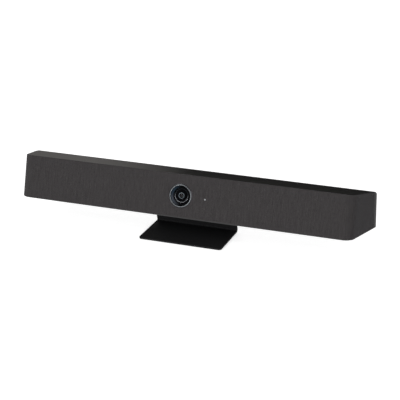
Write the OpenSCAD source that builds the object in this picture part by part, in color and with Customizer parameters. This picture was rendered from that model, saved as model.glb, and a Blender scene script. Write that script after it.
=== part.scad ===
// Conference video bar on a bent plate stand.
// World frame: Z up, X along the bar, front to -Y, origin on the floor under the middle.
// Bar frame: origin on the front bottom edge, Y back, Z up, pitched by bar_tilt.
// Face frame: same origin, Y straight into the front face, Z up along it.

/* [Bar outline] */
// Width over the back edges
bar_w = 680; // [670:1:690]
// Width at the front face, before the corners are rounded
front_w = 635; // [628:1:640]
// Depth of the underside
bar_d = 102; // [100:1:106]
// Height at the front
bar_h = 78.4; // [77:0.2:80]
// Height lost from the front top edge to the back top edge
top_drop = 13.2; // [12:0.2:14]
// Lean of the front face in degrees
face_lean = 10; // [9:0.5:11]
// Upward pitch of the whole bar in degrees
bar_tilt = 5; // [3:0.5:6]
// Radius of the two upright front corners
corner_r = 20; // [16:0.5:22]

/* [Shell] */
// Thickness of the grille cloth
cloth_t = 0.8; // [0.6:0.1:0.9]
// Thickness of the grille carrier wall
carrier_t = 2.2; // [2:0.1:2.4]
// Wall and floor thickness of the rear housing
wall_t = 2.4; // [2:0.1:2.6]
// Thickness of the floor lip under the grille
lip_t = 1.5; // [1.2:0.1:1.6]
// Depth of the bare rim of the rear housing
rim_d = 8; // [7:0.5:9]
// Radius of the top outer corners of the rim
rim_r = 5; // [4:0.5:6]
// Share of that radius that lies inside the rim faces
rim_share = 0.98; // [0.97:0.01:0.98]
// Thickness of the top panel
panel_t = 2.4; // [2:0.1:2.6]
// Seam left around the top panel
seam = 0.15; // [0.1:0.05:0.25]
// Width of the ledges that carry the top panel
ledge_w = 4; // [3:0.5:5]
// Thickness of the ledges
ledge_t = 2; // [1.5:0.1:2.4]
// Height of the locating skirt under the top panel
skirt_h = 3; // [2:0.5:4]
// Overrun of every cut
cut = 1; // [0.5:0.1:1.5]

/* [Lens position and ring] */
// Height of the lens axis up the front face
lens_up = 40.3; // [39:0.1:41]
// Outer radius of the ring flange
ring_r = 22.5; // [22:0.1:23]
// Thickness of the outer edge of the ring flange
ring_edge = 0.4; // [0.3:0.05:0.6]
// How far the ring crest stands out of the cloth
ring_proud = 1.3; // [1:0.1:1.6]
// Outer radius of the ring crest
crest_out_r = 20.4; // [20.2:0.1:20.6]
// Inner radius of the ring crest
crest_in_r = 19.2; // [19:0.1:19.5]
// Radius of the ring sleeve in the carrier
sleeve_r = 20.6; // [20.3:0.1:20.8]
// Bore of the ring sleeve
ring_bore_r = 18.4; // [18.2:0.1:18.6]
// Depth at which the ring bevel meets its bore
bevel_w = 1.2; // [1:0.1:1.4]
// Radial gap between the ring sleeve and its hole
sleeve_gap = 0.1; // [0.05:0.01:0.15]

/* [Lens recess] */
// Wall thickness at the mouth of the recess funnel
funnel_t = 0.4; // [0.3:0.05:0.5]
// Radius of the recess where it opens onto the shutter
aperture_r = 14.3; // [14:0.1:14.6]
// Length of the straight part at that aperture
aperture_land = 0.3; // [0.2:0.05:0.4]
// Thickness of the plate behind the carrier
recess_t = 0.7; // [0.6:0.05:0.8]
// Reach of the shutter plates to the left of the lens
plate_left = 54; // [53.5:0.5:55]
// Reach of the shutter plates to the right of the lens
plate_right = 40; // [39:0.5:41]
// Reach of the shutter plates above the lens
plate_up = 20; // [19.5:0.5:21]
// Reach of the shutter plates below the lens
plate_down = 26; // [26:0.5:27]

/* [Shutter] */
// Thickness of the shutter blade
blade_t = 0.8; // [0.7:0.05:0.85]
// Gap on each face of the blade
blade_gap = 0.2; // [0.15:0.05:0.25]
// Half width of the blade
blade_half = 15.5; // [15:0.1:15.6]
// Travel from open to closed
blade_travel = 32; // [31.8:0.1:32.2]
// Half height of the blade above the lens axis
blade_up = 15.4; // [15:0.1:15.5]
// Distance from the lens axis down to the rack pitch line
rack_down = 17; // [16.9:0.1:17.1]
// Half length of the rack
rack_half = 19; // [18.9:0.1:19]
// Gear module
gear_m = 0.6; // [0.6:0.1:0.6]
// Number of teeth on the pinion
pinion_teeth = 14; // [14:1:14]
// Pressure angle in degrees
pressure = 20; // [20:1:20]
// Play between the teeth, measured along the pitch line
backlash = 0.16; // [0.12:0.01:0.2]
// Distance from the lens axis left to the pinion axis
pinion_left = 16; // [15.5:0.1:16.5]
// Rack teeth to the left of the one over the pinion
rack_teeth_left = 18; // [17:1:18]
// Share of the module used above the pitch line
addendum_share = 0.9; // [0.85:0.01:0.95]
// Shares of the tooth height at which its flank is drawn
flank_shares = [0, 0.3, 0.6, 1];
// Share of the module used below the pitch line
dedendum_share = 1.25; // [1.2:0.01:1.3]
// Axial gap at each face of the pinion
pinion_gap = 0.1; // [0.08:0.01:0.12]
// Radius of the pinion shaft
shaft_r = 0.75; // [0.6:0.05:0.8]
// Running gap around the shaft
shaft_gap = 0.05; // [0.03:0.01:0.08]
// Length of the shaft inside the motor
shaft_in = 4; // [3:0.5:5]
// Radius of the hole for the shaft in the guide
shaft_hole_r = 2; // [1.5:0.1:2.4]
// Thickness of the guide plate
guide_t = 1.5; // [1.3:0.1:1.7]
// Gap between the blade top edge and its rail
rail_gap = 0.3; // [0.2:0.05:0.4]
// Clear width left in the lower rail for the pinion
pinion_bay = 16; // [14:0.5:18]
// Radius of the shutter motor
motor_r = 5; // [4.5:0.1:5.2]
// Length of the shutter motor
motor_len = 12; // [10:0.5:13]
// Length of each flat motor terminal
motor_tab = 2; // [1.5:0.1:2.5]
// Width of each flat motor terminal
motor_tab_w = 1.2; // [1:0.1:1.4]
// Thickness of each flat motor terminal
motor_tab_t = 0.4; // [0.3:0.05:0.5]

/* [Lens barrel and optics] */
// Radius of the barrel rim
barrel_r = 13.2; // [13:0.05:13.3]
// Gap around the barrel rim in the guide
barrel_gap = 0.3; // [0.2:0.05:0.4]
// Setback of the rim behind the guide face
rim_back = 0.1; // [0.05:0.05:0.2]
// Length of the rim
rim_len = 4.5; // [4:0.1:5]
// Radius of the barrel thread
thread_r = 11; // [10.8:0.1:11.2]
// Full length of the barrel
barrel_len = 16; // [15:0.5:17]
// Width of the bright chamfer on the rim
rim_chamfer = 0.6; // [0.4:0.05:0.8]
// Depth of the rim chamfer
rim_step = 0.9; // [0.7:0.05:1]
// Depth of the baffle floor in the rim
baffle_w = 1.6; // [1.4:0.1:1.8]
// Radius where the baffle cone ends
baffle_r = 7.2; // [7:0.1:7.6]
// Outer radius of the front element and its retaining ring
element_r = 6.1; // [5.9:0.05:6.2]
// Radial fit gap of glass and rings in the barrel
glass_gap = 0.05; // [0.03:0.01:0.08]
// Radius of the clear front glass
glass_r = 4.25; // [4.1:0.05:4.4]
// How far the retaining ring sits behind the rim face
retainer_back = 0.2; // [0.1:0.05:0.4]
// Length of the retaining ring
retainer_len = 2.3; // [2:0.1:2.5]
// Depth of the front element seat behind the rim face
seat_w = 4; // [3.8:0.1:4.2]
// Bore of the shoulder behind the front element
shoulder_r = 5; // [4.5:0.1:5.4]
// Thickness of that shoulder
shoulder_t = 1; // [0.8:0.1:1.2]
// Bore behind the shoulder
rear_bore_r = 8; // [7.6:0.1:8.4]
// Radius of curvature of the front glass
glass_dome_r = 11; // [9:0.5:13]
// Distance from the shoulder to the rear element
rear_glass_w = 4; // [3:0.5:5]
// Edge thickness of the rear element
rear_glass_t = 3; // [2.5:0.1:3.5]
// Radius of curvature of the rear element
rear_dome_r = 18; // [16:0.5:20]

/* [Camera board] */
// Side of the square lens holder
holder_side = 30; // [29:0.5:31]
// Length of the lens holder
holder_len = 11; // [10:0.5:12]
// Depth of the camera board front face behind the cloth
board_w = 25; // [25:0.5:26]
// Thickness of the circuit boards
pcb_t = 1.6; // [1.5:0.1:1.7]
// Reach of the camera board to the left of the lens
board_left = 21; // [20.5:0.5:21.5]
// Reach of the camera board to the right of the lens
board_right = 42; // [41.5:0.5:43]
// Half height of the camera board
board_half = 20; // [19.5:0.5:20.5]
// Width of the image sensor
sensor_x = 14; // [13:0.5:14.5]
// Height of the image sensor
sensor_z = 12; // [11:0.5:12.5]
// Thickness of the image sensor
sensor_t = 1.5; // [1.2:0.1:1.6]
// Radius of the posts that carry the camera board
post_r = 2.6; // [2.4:0.1:2.8]
// Distance of the right posts from the lens axis
post_right = 31; // [30.5:0.5:31.5]
// Distance of the left post from the lens axis
post_left = 17.8; // [17.7:0.1:18]
// Height of the posts above and below the lens axis
post_up = 17; // [16.9:0.1:17.2]

/* [Small screws] */
// Shank radius of the small screws
m2_r = 1; // [0.9:0.05:1.05]
// Head radius of the small screws
m2_head_r = 1.9; // [1.8:0.05:2]
// Head height of the small screws
m2_head_h = 1.2; // [1:0.1:1.3]
// Shank radius of the case and speaker screws
m3_r = 1.45; // [1.35:0.05:1.5]
// Head radius of the case and speaker screws
m3_head_r = 2.7; // [2.5:0.1:2.8]
// Head height of the case and speaker screws
m3_head_h = 1.3; // [1.2:0.1:1.4]
// Radial gap between a screw and the hole it is cut into
screw_gap = 0.05; // [0.03:0.01:0.08]
// Width of the driver slot in a screw head
slot_w = 0.7; // [0.5:0.1:0.8]
// Share of the head height taken by the driver slot
slot_share = 0.5; // [0.4:0.05:0.6]
// Depth of the small screws in the carrier
carrier_bite = 1.5; // [1.3:0.1:1.6]
// Depth of the board screws in their posts
post_bite = 6; // [5:0.5:7]
// Distance of the guide screws from the left plate edge
guide_screw_in = 3; // [2.8:0.1:3.2]
// Distance of the upper guide screws below the plate top
guide_screw_top = 2.4; // [2.3:0.1:2.5]
// Distance of the lower guide screws above the plate bottom
guide_screw_low = 4; // [3.8:0.1:4.2]

/* [Status light] */
// Distance of the light from the lens axis
led_x = 47; // [46.5:0.5:48]
// Height of the light above the lens axis
led_up = -1.3; // [-2:0.1:-1]
// Radius of the light pipe
led_r = 1.4; // [1.2:0.1:1.6]
// How far the pipe stands out of the cloth
led_proud = 0.15; // [0.1:0.05:0.3]
// Radius of the pipe flange
led_flange_r = 2.3; // [2.2:0.1:2.4]
// Thickness of the pipe flange
led_flange_t = 0.6; // [0.5:0.05:0.7]
// Side of the emitter chip
led_chip = 2.8; // [2.6:0.1:3]
// Height of the emitter chip
led_chip_t = 1; // [0.9:0.05:1.1]
// Side of the light board
led_board = 12; // [11.8:0.1:12]
// Radius of the light board posts
led_post_r = 1.4; // [1.2:0.1:1.5]
// Distance of the light board posts from the light
led_post_x = 4.2; // [4:0.1:4.3]

/* [Microphones] */
// Distance between neighbouring microphones
mic_pitch = 28; // [27:0.5:29]
// Microphones on each side of the middle
mic_pairs = 4; // [4:1:4]
// Distance of the microphones below the front top edge
mic_down = 8.9; // [8.4:0.1:9.4]
// Half length of the microphone board
mic_board_half = 112; // [110:1:114]
// Height of the microphone board
mic_board_h = 7; // [6.5:0.1:7.5]
// Thickness of the microphone board
mic_board_t = 1; // [0.9:0.1:1.1]
// Width of a microphone can
mic_can_x = 3.8; // [3.5:0.1:4]
// Height of a microphone can
mic_can_z = 3; // [2.8:0.1:3.2]
// Thickness of a microphone can
mic_can_t = 1.1; // [1:0.1:1.2]
// Radius of a sound hole in the carrier
mic_hole_r = 0.9; // [0.8:0.1:1]
// Radius of the gasket around a sound hole
gasket_r = 2.6; // [2.4:0.1:2.8]
// Thickness of the gasket
gasket_t = 0.8; // [0.7:0.05:0.9]

/* [Speakers] */
// Distance of each speaker from the middle
spk_x = 190; // [188:1:192]
// Height of the speaker axis up the front face
spk_up = 38.5; // [38:0.1:39]
// Length of a speaker box
box_len = 120; // [116:1:122]
// Wall thickness of a speaker box
box_t = 2; // [1.8:0.1:2.2]
// Depth of the box front behind the cloth
box_w = 8; // [7.8:0.1:8.2]
// Distance of the box top below the bar top
box_top = 6; // [5.5:0.1:6.5]
// Distance of the box back from the bar back
box_back = 20; // [19.5:0.5:20.5]
// Radius of the hole in the box front
spk_hole_r = 26.6; // [26.5:0.1:26.8]
// Radius of the basket flange
flange_r = 31.5; // [31:0.1:32]
// Thickness of the basket flange
flange_t = 1.5; // [1.3:0.1:1.7]
// Outer radius of the basket wall at the flange
basket_r = 26.4; // [26.2:0.1:26.4]
// Inner radius of the basket mouth
basket_in_r = 25; // [24.8:0.1:25.2]
// Depth of the basket behind the box front
basket_deep = 16; // [15.5:0.5:16.5]
// Outer radius of the basket floor
basket_floor_r = 21; // [20.8:0.1:21.2]
// Radius of the hole in the basket floor
basket_hole_r = 12; // [11.5:0.1:12.5]
// Thickness of the basket floor
basket_floor_t = 1.5; // [1.4:0.1:1.6]
// Radius of the step that carries the spider
step_r = 17; // [16.8:0.1:17.2]
// Height of that step
step_h = 2; // [1.8:0.1:2.2]
// Wall thickness of the basket
basket_t = 1.2; // [1.1:0.1:1.3]
// Thickness of the magnet top plate
plate_t = 3; // [2.8:0.1:3.2]
// Inner radius of the magnet top plate
gap_out_r = 9.7; // [9.65:0.01:9.75]
// Outer radius of the magnet
magnet_r = 22; // [21.5:0.5:23]
// Inner radius of the magnet
magnet_in_r = 13; // [12.5:0.5:13.5]
// Thickness of the magnet
magnet_t = 8; // [7.5:0.5:9]
// Thickness of the back plate
yoke_t = 3.5; // [3:0.1:4]
// Radius of the pole
pole_r = 8.2; // [8:0.05:8.3]
// Radius of the cone edge
cone_r = 21.5; // [21.4:0.05:21.5]
// Depth of the cone edge behind the flange front
cone_edge_w = 0.4; // [0.3:0.05:0.5]
// Depth of the cone
cone_deep = 8; // [7.5:0.1:8.5]
// Thickness of the cone paper
cone_t = 0.6; // [0.5:0.05:0.7]
// Inner radius of the coil former
former_r = 8.75; // [8.7:0.01:8.8]
// Wall thickness of the coil former
former_t = 0.3; // [0.25:0.01:0.32]
// Length of the coil former
former_len = 16; // [15.5:0.1:16.5]
// Thickness of the coil winding
coil_t = 0.3; // [0.25:0.01:0.3]
// Length of the coil winding
coil_len = 5; // [4.5:0.1:5.5]
// Distance from the former end to the winding
coil_end = 3; // [2.8:0.1:3.2]
// Radius of curvature of the dust cap
cap_sphere_r = 14; // [12:0.5:16]
// Thickness of the dust cap
cap_t = 0.4; // [0.3:0.05:0.5]
// Clearance of the flexing parts from the cone
flex_gap = 0.3; // [0.3:0.01:0.35]
// Outer radius of the surround roll
roll_r = 1.8; // [1.7:0.05:1.85]
// Thickness of the surround
roll_t = 0.5; // [0.4:0.05:0.6]
// Outer radius of the surround foot
foot_ring_r = 26.5; // [26.2:0.1:26.6]
// Number of waves in the spider
spider_waves = 4; // [3:1:5]
// Height of the spider waves
spider_amp = 0.8; // [0.6:0.1:0.9]
// Thickness of the spider
spider_t = 0.5; // [0.4:0.05:0.6]
// Outer radius of the spider
spider_r = 20; // [19.8:0.05:20.1]
// Radius on which the speaker screws sit
spk_screw_r = 29.4; // [29.3:0.1:29.5]
// Depth of the speaker screws in the box
spk_bite = 6; // [5:0.5:7]
// Radius of the screw bosses in the box
boss_r = 3.2; // [3:0.1:3.3]
// Radius of the slotted sound field in the carrier
field_r = 27; // [26:0.5:28]
// Width of a sound slot
sound_slot = 2.4; // [2:0.1:2.8]
// Distance between neighbouring sound slots
sound_pitch = 4.2; // [4:0.1:4.4]
// Sound slots on each side of the middle one
sound_side = 6; // [5:1:6]

/* [Main board] */
// Half length of the main board
main_half = 125; // [123:1:127]
// Height of the main board lower edge
main_low = 8; // [7.5:0.5:8.5]
// Distance of the main board below the back top edge
main_top = 7.2; // [6.8:0.2:8]
// Distance of the main board back face from the bar back
main_back = 14.4; // [14.2:0.1:14.6]
// Radius of the main board posts
main_post_r = 3.2; // [3:0.1:3.4]
// Distance of the main board posts from its ends
main_post_end = 6; // [5.5:0.5:7]
// Height of the posts from each long board edge
main_post_in = 4; // [3.8:0.1:4.2]
// Side of the processor
soc_side = 24; // [22:0.5:26]
// Thickness of the processor
soc_t = 2.2; // [2:0.1:2.4]
// Thickness of the heat pad
pad_t = 0.8; // [0.6:0.1:1]
// Width of a memory chip
ram_x = 10; // [9:0.5:11]
// Height of a memory chip
ram_z = 14; // [12:0.5:15]
// Thickness of a memory chip
ram_t = 1.2; // [1:0.1:1.4]
// Distance of the memory chips from the middle
ram_off = 52; // [50:0.5:54]
// Half length of the heat sink
sink_half = 30; // [29:0.5:30]
// Height of the heat sink
sink_h = 40; // [38:0.5:42]
// Thickness of the heat sink base
sink_base = 3; // [2.5:0.1:3.5]
// Length of the fins
fin_len = 12; // [10:0.5:13]
// Thickness of a fin
fin_t = 1.5; // [1.2:0.1:1.8]
// Distance between neighbouring fins
fin_pitch = 5; // [4.5:0.1:5.2]
// Fins on each side of the middle one
fin_side = 4; // [3:1:4]
// Distance of the heat sink screws from its edges
sink_screw_in = 3; // [2.8:0.1:3.4]
// Radius of the heat sink legs
leg_r = 2.4; // [2.2:0.1:2.6]

/* [Ports] */
// Height of the port row above the underside
port_z = 33; // [32:0.5:34]
// Setback of the port fronts in the back wall
port_set = 0.4; // [0.3:0.1:0.6]
// Gap around every port in the back wall
port_gap = 0.3; // [0.2:0.05:0.4]
// Position of the network port
lan_x = -48; // [-49:0.5:-47]
// Width of the network port
lan_w = 16; // [15.8:0.1:16.2]
// Height of the network port
lan_h = 13.5; // [13:0.1:14]
// Width of its mouth
lan_in_w = 12; // [11.8:0.1:12.2]
// Height of its mouth
lan_in_h = 8; // [7.8:0.1:8.2]
// Depth of its mouth
lan_deep = 11; // [10.5:0.5:11.5]
// Width of the latch notch
notch_w = 6; // [5.8:0.1:6.2]
// Height of the latch notch
notch_h = 2; // [1.8:0.1:2.2]
// Position of the video port
hdmi_x = -20; // [-21:0.5:-19]
// Width of the video port
hdmi_w = 15.2; // [15:0.1:15.4]
// Height of the video port
hdmi_h = 5.9; // [5.8:0.1:6]
// Side of the cut lower corners
hdmi_cut = 1.8; // [1.6:0.1:2]
// Sheet thickness of the port shells
shell_t = 0.5; // [0.4:0.05:0.55]
// Depth of the video and data port mouths
mouth_deep = 8; // [7.5:0.1:9]
// Width of the video contact tongue
hdmi_tongue_w = 10.5; // [10:0.1:11]
// Thickness of the video contact tongue
hdmi_tongue_t = 1.3; // [1.2:0.1:1.4]
// Position of the data port
usb_x = 2; // [1:0.5:3]
// Width of the data port
usb_w = 9.6; // [9.4:0.1:9.8]
// Height of the data port
usb_h = 3.9; // [3.8:0.05:4]
// Width of the data contact tongue
usb_tongue_w = 6.6; // [6.4:0.1:6.8]
// Thickness of the data contact tongue
usb_tongue_t = 0.7; // [0.6:0.05:0.8]
// Setback of the contact tongues in their mouths
tongue_set = 1; // [0.8:0.1:1.2]
// Position of the power inlet
power_x = 24; // [23:0.5:25]
// Side of the power inlet block
power_side = 10; // [9.5:0.1:10.5]
// Radius of the power inlet mouth
power_r = 3.4; // [3.2:0.1:3.6]
// Radius of the power inlet pin
power_pin_r = 1; // [0.8:0.05:1.1]
// Position of the lock slot
lock_x = 88; // [87:0.5:89]
// Width of the lock slot
lock_w = 7; // [6.8:0.1:7.2]
// Height of the lock slot
lock_h = 3; // [2.9:0.1:3.1]
// Width of a vent slot in the back wall
vent_w = 2.4; // [2:0.1:2.8]
// Height of a vent slot
vent_h = 9; // [8:0.5:9.5]
// Height of the vent slots above the underside
vent_z = 46; // [45:0.5:47]
// Distance between neighbouring vent slots
vent_pitch = 6; // [5.6:0.1:6.4]
// Vent slots on each side of the middle one
vent_side = 9; // [8:1:9]

/* [Buttons] */
// Position of the power button
power_button_x = 46; // [45:0.5:47]
// Position of the pairing button
pair_button_x = 62; // [61:0.5:63]
// Radius of a button cap
button_r = 3; // [2.8:0.05:3.2]
// Gap around a button cap
button_gap = 0.1; // [0.08:0.01:0.1]
// How far a cap stands out of the back wall
button_proud = 0.5; // [0.45:0.05:0.7]
// Radius of the button collar
collar_r = 4.2; // [4:0.1:4.4]
// Thickness of the button collar
collar_t = 1.2; // [1:0.1:1.4]
// Travel of a button
button_travel = 0.35; // [0.3:0.01:0.4]
// Gap kept between the stem and a pressed switch
press_gap = 0.05; // [0.03:0.01:0.08]
// Radius of the button stem
stem_r = 1.6; // [1.4:0.1:1.8]
// Side of a switch body
switch_side = 6; // [5.8:0.1:6.2]
// Thickness of a switch body
switch_t = 3.5; // [3.3:0.1:3.6]
// Radius of the switch plunger
plunger_r = 1.5; // [1.4:0.1:1.6]
// Height of the switch plunger
plunger_h = 0.5; // [0.4:0.05:0.6]

/* [Threaded inserts] */
// Outer radius of a threaded insert
insert_r = 2.8; // [2.7:0.05:2.9]
// Core radius of its thread
insert_bore_r = 1.65; // [1.6:0.01:1.7]
// Length of an insert
insert_len = 8; // [7.5:0.5:8.5]
// Radius of the boss around an insert
insert_boss_r = 5; // [4.8:0.1:5.2]
// Thickness of the boss behind an insert
boss_floor = 1.2; // [1:0.1:1.4]
// Distance of the wall inserts from the middle
wall_x = 100; // [98:1:102]
// Height of the lower wall inserts
wall_z_low = 14; // [13:0.5:15]
// Height of the upper wall inserts
wall_z_high = 54; // [53:0.5:54]
// Distance of the stand inserts from the middle
stand_x = 50; // [48:1:52]
// Distance of the stand inserts from the front edge
stand_y = 54; // [53:0.5:56]

/* [Case screws] */
// Distance of the inner case screws from the middle
case_x_in = 90; // [88:1:92]
// Distance of the outer case screws from the middle
case_x_out = 284; // [282:1:286]
// Distance of the case screws from the front edge
case_y = 10.5; // [10:0.1:11]
// Side of the blocks the case screws bite
block_side = 12; // [11:0.5:13]
// Height of those blocks above the floor
block_h = 11; // [10:0.5:12]
// Depth of the blocks from the front edge
block_d = 15.5; // [15:0.1:16]
// Length of the case screws above the floor
case_bite = 8; // [7:0.5:9]

/* [Cables] */
// Width of the camera ribbon
ribbon_w = 10; // [9.5:0.1:10]
// Thickness of the ribbons
ribbon_t = 0.3; // [0.25:0.01:0.4]
// Position of the camera ribbon
ribbon_x = 36; // [36:0.1:36.4]
// Width of a ribbon connector
plug_w = 11.4; // [11:0.1:11.4]
// Height of a ribbon connector
plug_h = 5; // [4.6:0.1:5.4]
// Depth of a ribbon connector
plug_d = 3; // [2.8:0.1:3.2]
// Sag of the camera ribbon
ribbon_sag = 4; // [3:0.5:5]
// Share of the camera ribbon's run where it levels out
dip_share = 0.25; // [0.22:0.01:0.28]
// Share of the run where it is level
level_share = 0.4; // [0.36:0.01:0.44]
// Share of the sag reached at the dip
sag_share = 0.7; // [0.6:0.05:0.8]
// How deep a ribbon end sits in its connector
ribbon_in = 1.5; // [1.2:0.1:1.8]
// Position of the microphone ribbon
mic_ribbon_x = -70; // [-71:0.5:-69]
// Height of its connector on the main board
mic_plug_z = 53; // [52:0.5:53.5]
// Height of the level run of the microphone ribbon
mic_run_z = 60.5; // [60:0.1:61]
// Radius of a speaker lead
lead_r = 0.7; // [0.6:0.05:0.8]
// Length of the speaker leads beyond the main board
lead_run = 15; // [13:0.5:17]
// Height of the lower speaker lead
lead_z = 24; // [23:0.5:25]
// Distance between the two leads of a pair
lead_pitch = 3; // [2.6:0.1:3.4]
// Length of the speaker lead connector
lead_plug = 8; // [7:0.5:9]

/* [Stand] */
// Width of the stand plate
foot_w = 161; // [155:1:167]
// Thickness of the stand plate
stand_t = 3; // [2.8:0.1:3.2]
// Distance of the foot's front behind the bar's front edge
foot_set = 2; // [0:0.5:4]
// Height of the bar's front bottom edge above the floor
edge_z = 54.6; // [53:0.1:56]
// Forward lean of the upright in degrees
upright_lean = 18; // [17:0.5:19]
// Reach of the top flange back to its bend line
top_back = 83; // [82:0.5:84]
// Distance of the flange's front behind the bar's front edge
top_front = 36; // [34:1:40]
// Radius of the front corners of the foot
foot_r = 6; // [5:0.5:8]
// Inner radius of the two bends
bend_r = 2; // [1.5:0.5:3]
// Press strokes in a bend, each a narrow flat
bend_flats = 12; // [8:1:16]
// Radius of the screw holes in the top flange
stand_hole_r = 2.2; // [2.1:0.05:2.3]
// Head radius of the stand screws
stand_head_r = 3.6; // [3.4:0.1:3.8]
// Head height of the stand screws
stand_head_h = 2.4; // [2.2:0.1:2.6]
// Shank radius of the stand screws
stand_screw_r = 1.6; // [1.55:0.01:1.6]
// Depth of the stand screws in the bar
stand_bite = 7; // [6:0.5:7.5]
// Across-flats size of the hexagon socket
socket_af = 3; // [2.8:0.1:3.2]
// Radius of a foot pad
pad_r = 7; // [6:0.5:8]
// Thickness of a foot pad
pad_h = 1.5; // [1.3:0.1:1.7]
// Distance of the pads from the edges of the foot
pad_in = 12; // [10:0.5:14]

/* [Hidden] */
$fn = 96;
setback = bar_h * tan(face_lean);
top_angle = atan(top_drop / (bar_d - setback));
flare = atan((bar_w - front_w) / 2 / (bar_d * cos(face_lean)));
corner_x = front_w / 2 - corner_r * tan((90 - flare) / 2);
fold = cloth_t + carrier_t;
frame_in = fold + seam;
bar_far = bar_w + bar_d;
back_z = bar_h - top_drop;
mic_up = bar_h - mic_down;
main_high = back_z - main_top;
main_post_x = main_half - main_post_end;
lead_x = main_half + lead_run;
span_y = bar_d * cos(bar_tilt) + back_z * sin(bar_tilt);
bar_y = -span_y / 2;
bond = wall_t * 3 / 4;
recess_w = fold + recess_t;
blade_w = recess_w + blade_gap;
guide_w = blade_w + blade_t + blade_gap;
motor_w = guide_w + guide_t;
rim_w = guide_w + rim_back;
pitch_r = gear_m * pinion_teeth / 2;
base_r = pitch_r * cos(pressure);
tip_r = pitch_r + addendum_share * gear_m;
root_r = pitch_r - dedendum_share * gear_m;
tooth_pitch = PI * gear_m;
tooth_half = tooth_pitch / 4 - backlash / 4;
pinion_z = rack_down + pitch_r;
pinion_w = recess_w + pinion_gap;
rack_root = rack_down - dedendum_share * gear_m;
rack_tip = rack_down + addendum_share * gear_m;
retainer_w = rim_w + retainer_back;
seat_front = retainer_w + retainer_len;
seat_end = rim_w + seat_w;
shoulder_end = seat_end + shoulder_t;
barrel_end = rim_w + barrel_len;
main_y = bar_d - main_back - pcb_t;
port_y = bar_d - main_back;
port_len = main_back - port_set;
main_mid = (main_low + main_high) / 2;
sink_y = main_y - soc_t - pad_t;
wall_y = bar_d - wall_t;
basket_w = box_w - flange_t;
floor_w = box_w + basket_deep;
step_w = floor_w - basket_floor_t - step_h;
top_plate_w = floor_w + plate_t;
magnet_w = top_plate_w + magnet_t;
yoke_w = magnet_w + yoke_t;
cone_w = basket_w + cone_edge_w;
neck_w = cone_w + cone_deep;
former_out = former_r + former_t;
former_w = neck_w - cone_t;
cap_base = sqrt(cap_sphere_r * cap_sphere_r - former_out * former_out);
roll_c = cone_r + flex_gap + roll_r;
stem_end = bar_d - main_back + switch_t + plunger_h + press_gap + button_travel;
guide_points = [for (x = [guide_screw_in - plate_left, plate_right - guide_screw_in])
  for (z = [plate_up - guide_screw_top, guide_screw_low - plate_down]) [x, z]];
post_points = [[-post_left, post_up], [post_right, post_up], [post_right, -post_up]];
main_points = [for (x = [-main_post_x, main_post_x])
  for (z = [main_low + main_post_in, main_high - main_post_in]) [x, z]];
wall_points = [for (x = [-wall_x, wall_x]) for (z = [wall_z_low, wall_z_high]) [x, z]];
sink_points = [for (s = [-1, 1]) for (t = [-1, 1])
  [s * (sink_half - sink_screw_in), main_mid + t * (sink_h / 2 - sink_screw_in)]];
case_points = [-case_x_out, -case_x_in, case_x_in, case_x_out];
plate_top = pad_h + stand_t;
bend_pt = [bar_y + top_back * cos(bar_tilt) - stand_t * sin(bar_tilt),
  edge_z - top_back * sin(bar_tilt) - stand_t * cos(bar_tilt)];
heel_y = bend_pt[0] + (bend_pt[1] - plate_top) * tan(upright_lean);
foot_y = bar_y + foot_set;

function top_line(dt) = setback * sin(top_angle) + bar_h * cos(top_angle) - dt;
function top_z(y, dt) = (top_line(dt) - y * sin(top_angle)) / cos(top_angle);
function front_top(df, dt) = [
  (df * cos(top_angle) + top_line(dt) * sin(face_lean)) / cos(face_lean - top_angle),
  (top_line(dt) * cos(face_lean) - df * sin(top_angle)) / cos(face_lean - top_angle)];
function section(df, dt, db, dz) = [
  [(df + dz * sin(face_lean)) / cos(face_lean), dz],
  [bar_d - db, dz],
  [bar_d - db, top_z(bar_d - db, dt)],
  front_top(df, dt)];
function to_rad(a) = a * PI / 180;
function to_deg(a) = a * 180 / PI;
function inv(a) = tan(a) - to_rad(a);
function tooth_at(r) = to_deg(tooth_half / pitch_r + inv(pressure) - inv(acos(base_r / r)));
function bend(mid, r, from, to) = [for (k = [0 : bend_flats])
  let (a = from + (to - from) * k / bend_flats) mid + r * [sin(a), -cos(a)]];

module in_bar() {
  translate([0, bar_y, edge_z])
    rotate([-bar_tilt, 0, 0])
      children();
}

module in_face() {
  in_bar()
    rotate([-face_lean, 0, 0])
      children();
}

// Turns a shape drawn round +Z to point into the front face.
module into_face(x, up) {
  in_face()
    translate([x, 0, up])
      rotate([-90, 0, 0])
        children();
}

module at_lens(x, up) {
  in_face()
    translate([x, 0, lens_up + up])
      children();
}

module into_lens(x, up) {
  into_face(x, lens_up + up)
    children();
}

// Turns a shape drawn round +Z to point out of the back wall.
module into_back(x, y, z) {
  in_bar()
    translate([x, y, z])
      rotate([-90, 0, 0])
        children();
}

// Turns a shape drawn round +Z to point to the front.
module into_wall(x, y, z) {
  translate([x, y, z])
    rotate([90, 0, 0])
      children();
}

module both_sides() {
  children();
  mirror([1, 0, 0])
    children();
}

// Tube or disc between two depths.
module ring(r_out, r_in, from, to) {
  translate([0, 0, from])
    difference() {
      cylinder(h = to - from, r = r_out);
      translate([0, 0, -cut])
        cylinder(h = to - from + 2 * cut, r = r_in);
    }
}

module rod(r, from, to) {
  translate([0, 0, from])
    cylinder(h = to - from, r = r);
}

module box_x(x0, x1, y0, y1, z0, z1) {
  translate([x0, y0, z0])
    cube([x1 - x0, y1 - y0, z1 - z0]);
}

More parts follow.
